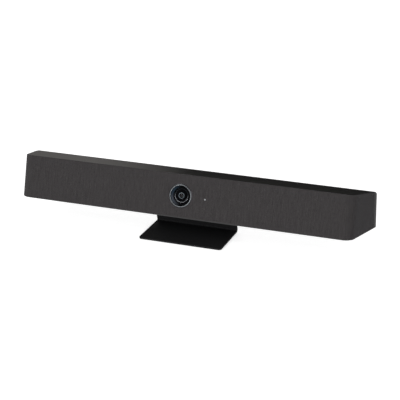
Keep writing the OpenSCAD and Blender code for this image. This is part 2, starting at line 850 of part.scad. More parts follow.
module plan(d) {
  r = corner_r - d;
  far = bar_d + cut;
  x0 = front_w / 2 + d * tan(flare) - d / cos(flare);
  x1 = x0 + (far - d) * tan(flare);
  side = [[corner_x, d - cut], [corner_x, corner_r],
    [corner_x, corner_r] + 2 * r * [cos(flare), -sin(flare)], [bar_far, far + cut]];
  intersection() {
    polygon([[x0, d], [x1, far], [-x1, far], [-x0, d]]);
    union() {
      polygon(concat(side, [for (k = [3 : -1 : 0]) [-side[k][0], side[k][1]]]));
      for (s = [-1, 1])
        translate([s * corner_x, corner_r])
          circle(r = r + cut / 10);
    }
  }
}

module section_prism(df, dt, db, dz, len) {
  rotate([90, 0, 90])
    translate([0, 0, -len / 2])
      linear_extrude(height = len)
        polygon(section(df, dt, db, dz));
}

// Outline of the bar, in by d at front and ends, dt above, db behind, dz below.
module outline(d, dt, db, dz) {
  intersection() {
    rotate([-face_lean, 0, 0])
      translate([0, 0, -2 * cut])
        linear_extrude(height = bar_h + bar_d * sin(face_lean) + 4 * cut)
          plan(d);
    section_prism(-2 * cut, dt, db, dz, bar_far);
  }
}

module screw(r, head_r, head_h, len) {
  rod(r, 0, len);
  difference() {
    rod(head_r, -head_h, 0);
    translate([-head_r - cut, -slot_w / 2, -head_h - cut])
      cube([2 * head_r + 2 * cut, slot_w, head_h * slot_share + cut]);
  }
}

module port_hole(x, w, h) {
  box_x(x - w / 2 - port_gap, x + w / 2 + port_gap, wall_y - cut, bar_d + cut,
    port_z - h / 2 - port_gap, port_z + h / 2 + port_gap);
}

// Back view of the rim, measured down from the top face.
module rim_shape() {
  x = bar_w / 2 + cut;
  in = rim_share * rim_r;
  side = front_w / 2 - in
    + (bar_d * cos(face_lean) - (back_z - in) * sin(face_lean)) * tan(flare);
  translate([-x, -bar_w])
    square([2 * x, bar_w - in]);
  translate([-side, -bar_w])
    square([2 * side, bar_w + cut]);
  for (s = [-1, 1])
    translate([s * side, -in])
      circle(r = rim_r);
}

module wall_bosses() {
  for (p = wall_points)
    into_wall(p[0], wall_y + cut, p[1])
      rod(insert_boss_r, 0, insert_len - wall_t + boss_floor + cut);
  for (p = main_points)
    into_wall(p[0], wall_y + cut, p[1])
      rod(main_post_r, 0, main_back - wall_t + cut);
}

module rear_shell() {
  difference() {
    intersection() {
      outline(0, 0, 0, 0);
      box_x(-bar_far, bar_far, bar_d - rim_d, bar_d + cut, -cut, bar_h + cut);
      translate([0, bar_d, back_z])
        rotate([90 - top_angle, 0, 0])
          translate([0, 0, -bar_h])
            linear_extrude(height = 2 * bar_h)
              rim_shape();
    }
    outline(wall_t, wall_t, wall_t, wall_t);
  }
  intersection() {
    outline(0, 0, 0, 0);
    box_x(-bar_far, bar_far, -bar_d, bar_d, 0, lip_t);
  }
  intersection() {
    outline(frame_in, frame_in, 0, 0);
    box_x(-bar_far, bar_far, -bar_d, bar_d, 0, wall_t);
  }
  difference() {
    outline(bond, bond, bond, bond);
    box_x(-bar_far, bar_far, -bar_d, bar_d - rim_d, -cut, bar_h + cut);
    outline(frame_in + ledge_w, panel_t + ledge_t, -cut, -cut);
  }
  difference() {
    outline(frame_in, panel_t, rim_d / 2, wall_t / 2);
    box_x(-bar_far, bar_far, -bar_d, bar_d - rim_d - ledge_w, -cut, bar_h + cut);
    outline(frame_in + ledge_w, panel_t + ledge_t, -cut, -cut);
  }
  wall_bosses();
  for (x = [-stand_x, stand_x])
    translate([x, stand_y, 0])
      rod(insert_boss_r, cut, insert_len + boss_floor);
}

module back_holes() {
  port_hole(lan_x, lan_w, lan_h);
  port_hole(hdmi_x, hdmi_w, hdmi_h);
  port_hole(usb_x, usb_w, usb_h);
  port_hole(power_x, power_side, power_side);
  box_x(lock_x - lock_w / 2, lock_x + lock_w / 2, wall_y - cut, bar_d + cut,
    port_z - lock_h / 2, port_z + lock_h / 2);
  for (i = [-vent_side : vent_side])
    box_x(i * vent_pitch - vent_w / 2, i * vent_pitch + vent_w / 2,
      wall_y - cut, bar_d + cut, vent_z, vent_z + vent_h);
  for (x = [power_button_x, pair_button_x])
    into_wall(x, bar_d, port_z)
      rod(button_r + button_gap, -cut, wall_t + cut);
  for (p = wall_points)
    into_wall(p[0], bar_d, p[1])
      rod(insert_r, -cut, insert_len);
  for (p = main_points)
    into_wall(p[0], port_y, p[1])
      rod(m2_r + screw_gap, -post_bite, cut);
}

module rear_housing() {
  color([0.06, 0.06, 0.065])
    in_bar()
      difference() {
        rear_shell();
        back_holes();
        for (x = [-stand_x, stand_x])
          translate([x, stand_y, 0])
            rod(insert_r, -cut, insert_len);
        for (x = case_points)
          translate([x, case_y, 0]) {
            rod(m3_r + screw_gap, -cut, wall_t + cut);
            rod(m3_head_r + screw_gap, -cut, m3_head_h);
          }
      }
}

module carrier_blocks() {
  intersection() {
    outline(cloth_t + carrier_t / 2, fold, rim_d, wall_t);
    for (x = case_points)
      box_x(x - block_side / 2, x + block_side / 2, -cut, block_d,
        wall_t, wall_t + block_h);
  }
}

module grille_carrier() {
  color([0.05, 0.05, 0.055]) {
    difference() {
      in_bar() {
        difference() {
          outline(cloth_t, cloth_t, rim_d, lip_t);
          outline(fold, -cut, -cut, -cut);
        }
        difference() {
          outline(cloth_t + carrier_t / 2, panel_t, rim_d + ledge_w + seam, lip_t);
          outline(fold + ledge_w, -cut, -cut, -cut);
          outline(-cut, panel_t + ledge_t, -cut, -cut);
        }
        carrier_blocks();
      }
      into_lens(0, 0)
        rod(sleeve_r + sleeve_gap, -cut, fold + cut);
      into_lens(led_x, led_up)
        rod(led_r + sleeve_gap, -cut, fold + cut);
      for (s = [-1, 1], i = [1 : mic_pairs])
        into_face(s * (i - 0.5) * mic_pitch, mic_up)
          rod(mic_hole_r, -cut, fold + cut);
      both_sides()
        intersection() {
          into_face(spk_x, spk_up)
            rod(field_r, -cut, fold + cut);
          in_face()
            for (i = [-sound_side : sound_side])
              box_x(spk_x + i * sound_pitch - sound_slot / 2,
                spk_x + i * sound_pitch + sound_slot / 2,
                -2 * cut, fold + 2 * cut, spk_up - field_r - cut, spk_up + field_r + cut);
        }
      for (p = guide_points)
        into_lens(p[0], p[1])
          rod(m2_r + screw_gap, fold - carrier_bite, fold + cut);
      in_bar()
        for (x = case_points)
          translate([x, case_y, wall_t])
            rod(m3_r + screw_gap, -cut, case_bite);
    }
    for (s = [-1, 1])
      into_lens(led_x + s * led_post_x, led_up)
        rod(led_post_r, fold - carrier_t / 2, fold + led_flange_t + led_chip_t);
  }
}

module grille_cloth() {
  color([0.22, 0.21, 0.21])
    difference() {
      in_bar()
        difference() {
          outline(0, 0, rim_d, lip_t);
          outline(cloth_t, cloth_t, -cut, -cut);
          outline(fold, -cut, -cut, -cut);
        }
      into_lens(0, 0)
        rod(sleeve_r + sleeve_gap, -cut, fold);
      into_lens(led_x, led_up)
        rod(led_r + sleeve_gap, -cut, fold);
    }
}

module top_panel() {
  color([0.08, 0.08, 0.08])
    in_bar() {
      difference() {
        outline(frame_in, 0, rim_d + seam, bar_h / 2);
        outline(-cut, panel_t, -cut, -cut);
      }
      difference() {
        outline(frame_in + ledge_w, panel_t - cut, rim_d + ledge_w + seam, bar_h / 2);
        outline(frame_in + ledge_w + wall_t / 2, -2 * cut, rim_d + ledge_w + wall_t, -cut);
        outline(-cut, panel_t + skirt_h, -cut, -cut);
      }
    }
}

module lens_ring() {
  color([0.42, 0.46, 0.5])
    into_lens(0, 0)
      rotate_extrude()
        polygon([[ring_r, 0], [ring_r, -ring_edge], [crest_out_r, -ring_proud],
          [crest_in_r, -ring_proud], [ring_bore_r, bevel_w], [ring_bore_r, fold],
          [sleeve_r, fold], [sleeve_r, 0]]);
}

module lens_recess() {
  color([0.02, 0.02, 0.022]) {
    into_lens(0, 0)
      rotate_extrude()
        polygon([[ring_bore_r - sleeve_gap, bevel_w], [ring_bore_r - sleeve_gap, recess_w],
          [aperture_r, recess_w], [aperture_r, recess_w - aperture_land],
          [ring_bore_r - sleeve_gap - funnel_t, bevel_w]]);
    difference() {
      at_lens(0, 0)
        box_x(-plate_left, plate_right, fold, recess_w, -plate_down, plate_up);
      into_lens(0, 0)
        rod((aperture_r + ring_bore_r) / 2, 0, recess_w + cut);
      for (p = guide_points)
        into_lens(p[0], p[1])
          rod(m2_r + screw_gap, 0, recess_w + cut);
    }
  }
}

module rack_tooth() {
  spread = tan(pressure);
  polygon([[-tooth_half - dedendum_share * gear_m * spread, -rack_root],
    [-tooth_half + addendum_share * gear_m * spread, -rack_tip],
    [tooth_half - addendum_share * gear_m * spread, -rack_tip],
    [tooth_half + dedendum_share * gear_m * spread, -rack_root]]);
}

module shutter_blade() {
  color([0.035, 0.035, 0.04])
    at_lens(-blade_travel, 0)
      translate([0, blade_w + blade_t, 0])
        rotate([90, 0, 0])
          linear_extrude(height = blade_t) {
            translate([-blade_half, -rack_root])
              square([2 * blade_half, rack_root + blade_up]);
            translate([-rack_half, -rack_root])
              square([2 * rack_half, rack_root - aperture_r]);
            for (i = [-rack_teeth_left : 1])
              translate([blade_travel - pinion_left + i * tooth_pitch, 0])
                rack_tooth();
          }
}

module pinion_outline() {
  polygon([for (i = [0 : pinion_teeth - 1])
    let (mid = 90 + (i + 0.5) * 360 / pinion_teeth)
      each concat(
        [root_r * [cos(mid - tooth_at(base_r)), sin(mid - tooth_at(base_r))]],
        [for (k = flank_shares)
          let (r = base_r + (tip_r - base_r) * k)
            r * [cos(mid - tooth_at(r)), sin(mid - tooth_at(r))]],
        [for (k = [3 : -1 : 0])
          let (r = base_r + (tip_r - base_r) * flank_shares[k])
            r * [cos(mid + tooth_at(r)), sin(mid + tooth_at(r))]],
        [root_r * [cos(mid + tooth_at(base_r)), sin(mid + tooth_at(base_r))]])]);
}

module shutter_pinion() {
  color([0.85, 0.85, 0.8]) {
    at_lens(-pinion_left, -pinion_z)
      translate([0, guide_w - pinion_gap, 0])
        rotate([90, 0, 0])
          linear_extrude(height = guide_w - pinion_gap - pinion_w)
            pinion_outline();
    into_lens(-pinion_left, -pinion_z)
      rod(shaft_r, pinion_w + pinion_gap, motor_w + shaft_in);
  }
}

module shutter_motor() {
  color([0.6, 0.6, 0.62])
    into_lens(-pinion_left, -pinion_z) {
      difference() {
        rod(motor_r, motor_w, motor_w + motor_len);
        rod(shaft_r + shaft_gap, motor_w - cut, motor_w + shaft_in + shaft_gap);
      }
      for (s = [-1, 1])
        translate([s * motor_r / 2 - motor_tab_w / 2, -motor_tab_t / 2, motor_w + motor_len - cut])
          cube([motor_tab_w, motor_tab_t, motor_tab + cut]);
    }
}

module shutter_guide() {
  color([0.03, 0.03, 0.035])
    difference() {
      union() {
        at_lens(0, 0) {
          box_x(-plate_left, plate_right, guide_w, motor_w, -plate_down, plate_up);
          box_x(-plate_left, plate_right, recess_w, motor_w, blade_up + rail_gap, plate_up);
          box_x(-plate_left, -pinion_left - pinion_bay / 2, recess_w, motor_w,
            -plate_down, -rack_tip - rail_gap);
          box_x(pinion_bay / 2 - pinion_left, plate_right, recess_w, motor_w,
            -plate_down, -rack_tip - rail_gap);
        }
        for (p = post_points)
          into_lens(p[0], p[1])
            rod(post_r, motor_w - guide_t / 2, board_w);
      }
      into_lens(0, 0)
        rod(barrel_r + barrel_gap, recess_w, motor_w + cut);
      into_lens(-pinion_left, -pinion_z)
        rod(shaft_hole_r, recess_w, motor_w + cut);
      for (p = guide_points)
        into_lens(p[0], p[1])
          rod(m2_r + screw_gap, 0, motor_w + cut);
      for (p = post_points)
        into_lens(p[0], p[1])
          rod(m2_r + screw_gap, board_w - post_bite, board_w + cut);
    }
}

module guide_screws() {
  color([0.5, 0.5, 0.52])
    for (p = guide_points)
      into_lens(p[0], p[1])
        translate([0, 0, motor_w])
          mirror([0, 0, 1])
            screw(m2_r, m2_head_r, m2_head_h, motor_w - fold + carrier_bite);
}

module lens_barrel() {
  color([0.05, 0.05, 0.06])
    into_lens(0, 0)
      rotate_extrude()
        polygon([[barrel_r, rim_w], [barrel_r, rim_w + rim_len], [thread_r, rim_w + rim_len],
          [thread_r, barrel_end], [rear_bore_r, barrel_end], [rear_bore_r, shoulder_end],
          [shoulder_r, shoulder_end], [shoulder_r, seat_end],
          [element_r + glass_gap, seat_end], [element_r + glass_gap, rim_w + baffle_w],
          [baffle_r, rim_w + baffle_w], [barrel_r - 2 * rim_chamfer, rim_w + rim_step],
          [barrel_r - rim_chamfer, rim_w]]);
}

module lens_retainer() {
  color([0.45, 0.46, 0.48])
    into_lens(0, 0)
      ring(element_r, glass_r + glass_gap, retainer_w, seat_front);
}

module front_element() {
  color([0.1, 0.12, 0.2, 0.5])
    into_lens(0, 0) {
      rod(element_r, seat_front, seat_end);
      intersection() {
        rod(glass_r, retainer_w, seat_end);
        translate([0, 0, retainer_w + glass_dome_r])
          sphere(r = glass_dome_r);
      }
    }
}

module rear_element() {
  color([0.5, 0.6, 0.6, 0.5])
    into_lens(0, 0)
      intersection() {
        rod(rear_bore_r - glass_gap, shoulder_end + rear_glass_w - rear_glass_t,
          shoulder_end + rear_glass_w + rear_glass_t);
        translate([0, 0, shoulder_end + rear_glass_w + rear_dome_r - rear_glass_t])
          sphere(r = rear_dome_r);
        translate([0, 0, shoulder_end + rear_glass_w - rear_dome_r + rear_glass_t])
          sphere(r = rear_dome_r);
      }
}

module lens_holder() {
  color([0.04, 0.04, 0.045])
    difference() {
      at_lens(0, 0)
        box_x(-holder_side / 2, holder_side / 2, board_w - holder_len, board_w,
          -holder_side / 2, holder_side / 2);
      into_lens(0, 0)
        rod(thread_r + glass_gap, 0, board_w + cut);
    }
}

module image_sensor() {
  color([0.1, 0.14, 0.16])
    at_lens(0, 0)
      box_x(-sensor_x / 2, sensor_x / 2, board_w - sensor_t, board_w, -sensor_z / 2, sensor_z / 2);
}

module camera_board() {
  color([0.03, 0.2, 0.1])
    difference() {
      at_lens(0, 0)
        box_x(-board_left, board_right, board_w, board_w + pcb_t, -board_half, board_half);
      for (p = post_points)
        into_lens(p[0], p[1])
          rod(m2_r + screw_gap, board_w - cut, board_w + pcb_t + cut);
    }
}

module camera_screws() {
  color([0.6, 0.6, 0.62])
    for (p = post_points)
      into_lens(p[0], p[1])
        translate([0, 0, board_w + pcb_t])
          mirror([0, 0, 1])
            screw(m2_r, m2_head_r, m2_head_h, post_bite + pcb_t - cut);
}

module light_pipe() {
  color([0.9, 0.9, 0.9])
    into_lens(led_x, led_up) {
      rod(led_r, -led_proud, fold + led_flange_t);
      rod(led_flange_r, fold, fold + led_flange_t);
    }
}

module light_chip() {
  color([0.95, 0.95, 0.85])
    at_lens(led_x, led_up)
      box_x(-led_chip / 2, led_chip / 2, fold + led_flange_t, fold + led_flange_t + led_chip_t,
        -led_chip / 2, led_chip / 2);
}

module light_board() {
  color([0.03, 0.2, 0.1])
    at_lens(led_x, led_up)
      box_x(-led_board / 2, led_board / 2, fold + led_flange_t + led_chip_t,
        fold + led_flange_t + led_chip_t + mic_board_t, -led_board / 2, led_board / 2);
}

module mic_board() {
  color([0.03, 0.2, 0.1])
    in_face()
      box_x(-mic_board_half, mic_board_half, fold + gasket_t + mic_can_t,
        fold + gasket_t + mic_can_t + mic_board_t,
        mic_up - mic_board_h / 2, mic_up + mic_board_h / 2);
}

module mic_cans() {
  color([0.75, 0.72, 0.6])
    for (s = [-1, 1], i = [1 : mic_pairs])
      in_face()
        translate([s * (i - 0.5) * mic_pitch, 0, mic_up])
          box_x(-mic_can_x / 2, mic_can_x / 2, fold + gasket_t, fold + gasket_t + mic_can_t,
            -mic_can_z / 2, mic_can_z / 2);
}

module mic_gaskets() {
  color([0.05, 0.05, 0.05])
    for (s = [-1, 1], i = [1 : mic_pairs])
      into_face(s * (i - 0.5) * mic_pitch, mic_up)
        ring(gasket_r, mic_hole_r, fold, fold + gasket_t);
}

module at_screws() {
  for (a = [45 : 90 : 315])
    into_face(spk_x + spk_screw_r * cos(a), spk_up + spk_screw_r * sin(a))
      children();
}

module speaker_box() {
  color([0.07, 0.07, 0.075])
    difference() {
      union() {
        difference() {
          in_bar()
            translate([spk_x, 0, 0])
              difference() {
                section_prism(box_w, box_top, box_back, wall_t, box_len);
                section_prism(box_w + box_t, box_top + box_t, box_back + box_t,
                  wall_t + box_t, box_len - 2 * box_t);
              }
          into_face(spk_x, spk_up)
            rod(spk_hole_r, box_w - cut, box_w + box_t + cut);
        }
        difference() {
          at_screws()
            rod(boss_r, box_w + box_t / 2, box_w + spk_bite + box_t / 2);
          into_face(spk_x, spk_up)
            rod(spk_hole_r, 0, box_w + spk_bite + box_t);
        }
      }
      at_screws()
        rod(m3_r + screw_gap, box_w - cut, box_w + spk_bite);
      for (i = [0, 1])
        into_back(lead_x, wall_y - main_back, lead_z + i * lead_pitch)
          mirror([0, 0, 1])
            rod(lead_r + screw_gap, 0, box_back);
    }
}

module basket() {
  color([0.12, 0.12, 0.13])
    difference() {
      into_face(spk_x, spk_up)
        rotate_extrude()
          polygon([[flange_r, basket_w], [flange_r, box_w], [basket_r, box_w],
            [basket_floor_r, floor_w], [basket_hole_r, floor_w],
            [basket_hole_r, floor_w - basket_floor_t], [step_r, floor_w - basket_floor_t],
            [step_r, step_w],
            [basket_floor_r - basket_t + step_h / 2, step_w],
            [basket_in_r, box_w], [basket_in_r, basket_w]]);
      at_screws()
        rod(m3_r + screw_gap, basket_w - cut, box_w + cut);
      for (a = [0 : 90 : 270])
        into_face(spk_x, spk_up)
          rotate([0, 0, a])
            translate([step_r + basket_t, -basket_hole_r / 2, box_w + basket_t])
              cube([basket_r, basket_hole_r, basket_deep - step_h - basket_floor_t - 2 * basket_t]);
    }
}

module magnet() {
  color([0.3, 0.3, 0.32])
    into_face(spk_x, spk_up)
      rotate_extrude()
        polygon([[0, floor_w], [pole_r, floor_w], [pole_r, magnet_w], [magnet_in_r, magnet_w],
          [magnet_in_r, top_plate_w], [gap_out_r, top_plate_w], [gap_out_r, floor_w],
          [basket_floor_r, floor_w], [basket_floor_r, top_plate_w], [magnet_r, top_plate_w],
          [magnet_r, magnet_w], [basket_floor_r, magnet_w], [basket_floor_r, yoke_w],
          [0, yoke_w]]);
}

module cone() {
  color([0.09, 0.09, 0.095])
    into_face(spk_x, spk_up)
      rotate_extrude()
        polygon([[cone_r, cone_w], [cone_r, cone_w + cone_t], [former_out, neck_w],
          [former_out, former_w + former_len - coil_end - coil_len],
          [former_out + coil_t, former_w + former_len - coil_end - coil_len],
          [former_out + coil_t, former_w + former_len - coil_end],
          [former_out, former_w + former_len - coil_end],
          [former_out, former_w + former_len], [former_r, former_w + former_len],
          [former_r, former_w], [former_out, former_w]]);
}

module dust_cap() {
  color([0.06, 0.06, 0.065])
    into_face(spk_x, spk_up)
      translate([0, 0, former_w + cap_base])
        intersection() {
          difference() {
            sphere(r = cap_sphere_r);
            sphere(r = cap_sphere_r - cap_t);
          }
          translate([0, 0, -cap_sphere_r - cut])
            cylinder(h = cap_sphere_r + cut - cap_base, r = cap_sphere_r);
        }
}

module surround() {
  color([0.03, 0.03, 0.03])
    into_face(spk_x, spk_up) {
      rotate_extrude()
        translate([roll_c, basket_w])
          difference() {
            circle(r = roll_r);
            circle(r = roll_r - roll_t);
            translate([-roll_r - cut, 0])
              square([2 * roll_r + 2 * cut, roll_r + cut]);
          }
      ring(foot_ring_r, roll_c + roll_r - roll_t / 2, basket_w - roll_t, basket_w);
    }
}

module spider() {
  inner = former_out + flex_gap + coil_t;
  edge = step_r + basket_t / 2;
  count = 2 * spider_waves;
  low = [for (i = [0 : count]) [inner + (edge - inner) * i / count,
    step_w - spider_t - (i % 2) * spider_amp]];
  high = [for (i = [count : -1 : 0]) [inner + (edge - inner) * i / count,
    step_w - (i % 2) * spider_amp]];
  color([0.75, 0.55, 0.25])
    into_face(spk_x, spk_up)
      rotate_extrude()
        polygon(concat(low, [[spider_r, step_w - spider_t], [spider_r, step_w]], high));
}

module speaker_screws() {
  color([0.5, 0.5, 0.52])
    both_sides()
      at_screws()
        translate([0, 0, basket_w])
          screw(m3_r, m3_head_r, m3_head_h, spk_bite + flange_t - cut);
}

module lead(i) {
  y_box = bar_d - box_back;
  y_run = (y_box + main_y) / 2;
  z = lead_z + i * lead_pitch;
  in_bar() {
    translate([lead_x, y_box - box_t, z])
      rotate([-90, 0, 0])
        rod(lead_r, 0, y_run - y_box + box_t);
    translate([lead_x, y_run, z])
      sphere(r = lead_r);
    translate([main_half - lead_plug / 2, y_run, z])
      rotate([0, 90, 0])
        rod(lead_r, 0, lead_x - main_half + lead_plug / 2);
  }
}

module speaker_leads() {
  color([0.5, 0.05, 0.05])
    both_sides() {
      lead(0);
      lead(1);
    }
}

module main_board() {
  color([0.03, 0.2, 0.1])
    in_bar()
      difference() {
        box_x(-main_half, main_half, main_y, port_y, main_low, main_high);
        for (p = main_points)
          into_wall(p[0], port_y, p[1])
            rod(m2_r + screw_gap, -cut, pcb_t + cut);
      }
}

module chips() {
  color([0.06, 0.06, 0.07])
    in_bar() {
      box_x(-soc_side / 2, soc_side / 2, main_y - soc_t, main_y,
        main_mid - soc_side / 2, main_mid + soc_side / 2);
      for (x = [-ram_off - 2 * ram_x, -ram_off, ram_off + ram_x])
        box_x(x - ram_x / 2, x + ram_x / 2, main_y - ram_t, main_y,
          main_mid - ram_z / 2, main_mid + ram_z / 2);
    }
}

module heat_pad() {
  color([0.6, 0.62, 0.68])
    in_bar()
      box_x(-soc_side / 2, soc_side / 2, sink_y, main_y - soc_t,
        main_mid - soc_side / 2, main_mid + soc_side / 2);
}

module heat_sink() {
  z0 = main_mid - sink_h / 2;
  color([0.55, 0.56, 0.58])
    in_bar()
      difference() {
        union() {
          box_x(-sink_half, sink_half, sink_y - sink_base, sink_y, z0, z0 + sink_h);
          for (i = [-fin_side : fin_side])
            box_x(i * fin_pitch - fin_t / 2, i * fin_pitch + fin_t / 2,
              sink_y - sink_base - fin_len, sink_y - sink_base / 2, z0, z0 + sink_h);
          for (p = sink_points)
            into_wall(p[0], main_y, p[1])
              rod(leg_r, 0, main_y - sink_y + sink_base / 2);
        }
        for (p = sink_points)
          into_wall(p[0], main_y, p[1])
            rod(m2_r + screw_gap, -cut, main_y - sink_y + sink_base + cut);
      }
}

module board_screws() {
  color([0.6, 0.6, 0.62]) {
    for (p = main_points)
      into_back(p[0], main_y, p[1])
        screw(m2_r, m2_head_r, m2_head_h, pcb_t + post_bite - cut);
    for (p = sink_points)
      into_back(p[0], sink_y - sink_base, p[1])
        screw(m2_r, m2_head_r, m2_head_h, sink_base + main_y - sink_y);
  }
}

module port_network() {
  z0 = port_z - lan_h / 2;
  z1 = port_z - lan_in_h / 2;
  color([0.6, 0.6, 0.62])
    in_bar()
      difference() {
        box_x(lan_x - lan_w / 2, lan_x + lan_w / 2, port_y, port_y + port_len, z0, z0 + lan_h);
        box_x(lan_x - lan_in_w / 2, lan_x + lan_in_w / 2, port_y + port_len - lan_deep, bar_d + cut,
          z1, z1 + lan_in_h);
        box_x(lan_x - notch_w / 2, lan_x + notch_w / 2, port_y + port_len - lan_deep, bar_d + cut,
          z1 - notch_h, z1 + cut);
      }
}

// Port frame: mouth at Z = 0, Z into the bar.
module at_port(x) {
  in_bar()
    into_wall(x, port_y + port_len, port_z)
      children();
}

module video_outline(d) {
  x = hdmi_w / 2 - d;
  z = hdmi_h / 2 - d;
  c = hdmi_cut;
  polygon([[-x, z], [-x, -z + c], [-x + c, -z], [x - c, -z], [x, -z + c], [x, z]]);
}

module port_video() {
  color([0.7, 0.7, 0.72])
    at_port(hdmi_x) {
      difference() {
        linear_extrude(height = port_len)
          video_outline(0);
        translate([0, 0, -cut])
          linear_extrude(height = mouth_deep + cut)
            video_outline(shell_t);
      }
      translate([-hdmi_tongue_w / 2, -hdmi_tongue_t / 2, tongue_set])
        cube([hdmi_tongue_w, hdmi_tongue_t, mouth_deep]);
    }
}

module pill(w, h) {
  translate([(h - w) / 2, -h / 2])
    square([w - h, h]);
  for (s = [-1, 1])
    translate([s * (w - h) / 2, 0])
      circle(r = h / 2);
}

module port_data() {
  color([0.7, 0.7, 0.72])
    at_port(usb_x) {
      difference() {
        linear_extrude(height = port_len)
          pill(usb_w, usb_h);
        translate([0, 0, -cut])
          linear_extrude(height = mouth_deep + cut)
            pill(usb_w - 2 * shell_t, usb_h - 2 * shell_t);
      }
      translate([-usb_tongue_w / 2, -usb_tongue_t / 2, tongue_set])
        cube([usb_tongue_w, usb_tongue_t, mouth_deep]);
    }
}

module port_power() {
  color([0.05, 0.05, 0.05])
    at_port(power_x) {
      difference() {
        translate([-power_side / 2, -power_side / 2, 0])
          cube([power_side, power_side, port_len]);
        rod(power_r, -cut, mouth_deep);
      }
      rod(power_pin_r, tongue_set, mouth_deep + cut);
    }
}

module button(x) {
  color([0.1, 0.1, 0.105])
    into_back(x, 0, port_z) {
      rod(button_r, wall_y - collar_t / 2, bar_d + button_proud);
      rod(collar_r, wall_y - collar_t, wall_y);
      rod(stem_r, stem_end, wall_y);
    }
}

module switches() {
  color([0.2, 0.2, 0.2])
    in_bar()
      for (x = [power_button_x, pair_button_x]) {
        box_x(x - switch_side / 2, x + switch_side / 2, port_y, port_y + switch_t,
          port_z - switch_side / 2, port_z + switch_side / 2);
        translate([x, port_y + switch_t - plunger_h, port_z])
          rotate([-90, 0, 0])
            rod(plunger_r, 0, 2 * plunger_h);
      }
}

module threaded_inserts() {
  color([0.75, 0.6, 0.3]) {
    for (p = wall_points)
      into_back(p[0], bar_d - insert_len, p[1])
        ring(insert_r, insert_bore_r, 0, insert_len);
    in_bar()
      for (x = [-stand_x, stand_x])
        translate([x, stand_y, 0])
          ring(insert_r, insert_bore_r, 0, insert_len);
  }
}

module case_screws() {
  color([0.2, 0.2, 0.21])
    in_bar()
      for (x = case_points)
        translate([x, case_y, m3_head_h])
          screw(m3_r, m3_head_r, m3_head_h, wall_t + case_bite - 2 * m3_head_h);
}

module ribbon_plugs() {
  z = lens_up * cos(face_lean) - board_w * sin(face_lean);
  color([0.85, 0.83, 0.75]) {
    at_lens(ribbon_x, 0)
      box_x(-plug_w / 2, plug_w / 2, board_w + pcb_t, board_w + pcb_t + plug_d,
        -plug_h / 2, plug_h / 2);
    in_bar() {
      for (p = [[ribbon_x, z], [mic_ribbon_x, mic_plug_z]])
        box_x(p[0] - plug_w / 2, p[0] + plug_w / 2, main_y - plug_d, main_y,
          p[1] - plug_h / 2, p[1] + plug_h / 2);
      for (s = [-1, 1])
        translate([s * (main_half - lead_plug / 2), 0, 0])
          box_x(-lead_plug / 2, lead_plug / 2, main_y - plug_d, main_y,
            lead_z - lead_pitch, lead_z + 2 * lead_pitch);
    }
  }
}

// Flat ribbon that follows a path in the upright plane.
module ribbon(x, path) {
  in_bar()
    translate([x - ribbon_w / 2, 0, 0])
      rotate([90, 0, 90])
        linear_extrude(height = ribbon_w)
          polygon(concat(path, [for (i = [len(path) - 1 : -1 : 0]) path[i] + [0, ribbon_t]]));
}

module ribbons() {
  w0 = board_w + pcb_t + plug_d - ribbon_in;
  y0 = w0 * cos(face_lean) + lens_up * sin(face_lean);
  y1 = main_y - plug_d + ribbon_in;
  z1 = lens_up * cos(face_lean) - board_w * sin(face_lean);
  run = y1 - y0;
  wm = fold + gasket_t + mic_can_t + mic_board_t;
  ym = wm * cos(face_lean) + mic_up * sin(face_lean);
  zm = mic_up * cos(face_lean) - wm * sin(face_lean);
  color([0.8, 0.8, 0.78]) {
    ribbon(ribbon_x, [[y0, lens_up * cos(face_lean) - w0 * sin(face_lean)],
      [y0 + run * dip_share, z1 - ribbon_sag * sag_share], [y0 + run * level_share, z1 - ribbon_sag],
      [y1 - run * level_share, z1 - ribbon_sag], [y1 - run * dip_share, z1 - ribbon_sag * sag_share],
      [y1 - 2 * ribbon_in, z1], [y1, z1]]);
    ribbon(mic_ribbon_x, [[ym, zm - ribbon_in], [ym + 2 * ribbon_in, zm - 2 * ribbon_in],
      [ym + 6 * ribbon_in, mic_run_z], [y1 - 12 * ribbon_in, mic_run_z - ribbon_in],
      [y1 - 3 * ribbon_in, mic_plug_z], [y1, mic_plug_z]]);
  }
}

// Bent strip from the side: its outer face from foot to flange, then its inner face.
module strip() {
  up = 90 + upright_lean;
  top = 180 - bar_tilt;
  low = [heel_y - bend_r * tan(up / 2), plate_top + bend_r];
  high = bend_pt - bend_r * tan(top / 2 - up / 2) * [cos(up), sin(up)]
    + bend_r * [-sin(up), cos(up)];
  end = bend_pt + (top_back - top_front) * [cos(top), sin(top)];
  polygon(concat([[foot_y, plate_top], [foot_y, pad_h]],
    bend(low, bend_r + stand_t, 0, up), bend(high, bend_r + stand_t, up, top),
    [end + stand_t * [sin(top), -cos(top)], end],
    bend(high, bend_r, top, up), bend(low, bend_r, up, 0)));
}

module stand_plate() {
  x = foot_w / 2 - foot_r;
  color([0.07, 0.07, 0.075])
    difference() {
      rotate([90, 0, 90])
        translate([0, 0, -foot_w / 2])
          linear_extrude(height = foot_w)
            strip();
      for (s = [-1, 1])
        translate([s * x, foot_y + foot_r, 0])
          difference() {
            translate([s * foot_r, -foot_r, bar_h / 4])
              cube([2 * foot_r, 2 * foot_r, bar_h / 2], center = true);
            translate([0, 0, -cut])
              cylinder(h = bar_h, r = foot_r);
          }
      in_bar()
        for (x = [-stand_x, stand_x])
          translate([x, stand_y, 0])
            rod(stand_hole_r, -stand_t - cut, cut);
    }
}

module stand_screws() {
  color([0.2, 0.2, 0.21])
    in_bar()
      for (x = [-stand_x, stand_x])
        translate([x, stand_y, -stand_t])
          difference() {
            union() {
              rod(stand_screw_r, 0, stand_t + stand_bite);
              rod(stand_head_r, -stand_head_h, 0);
            }
            translate([0, 0, -stand_head_h - cut])
              cylinder(h = stand_head_h * slot_share + cut, r = socket_af / sqrt(3), $fn = 6);
          }
}

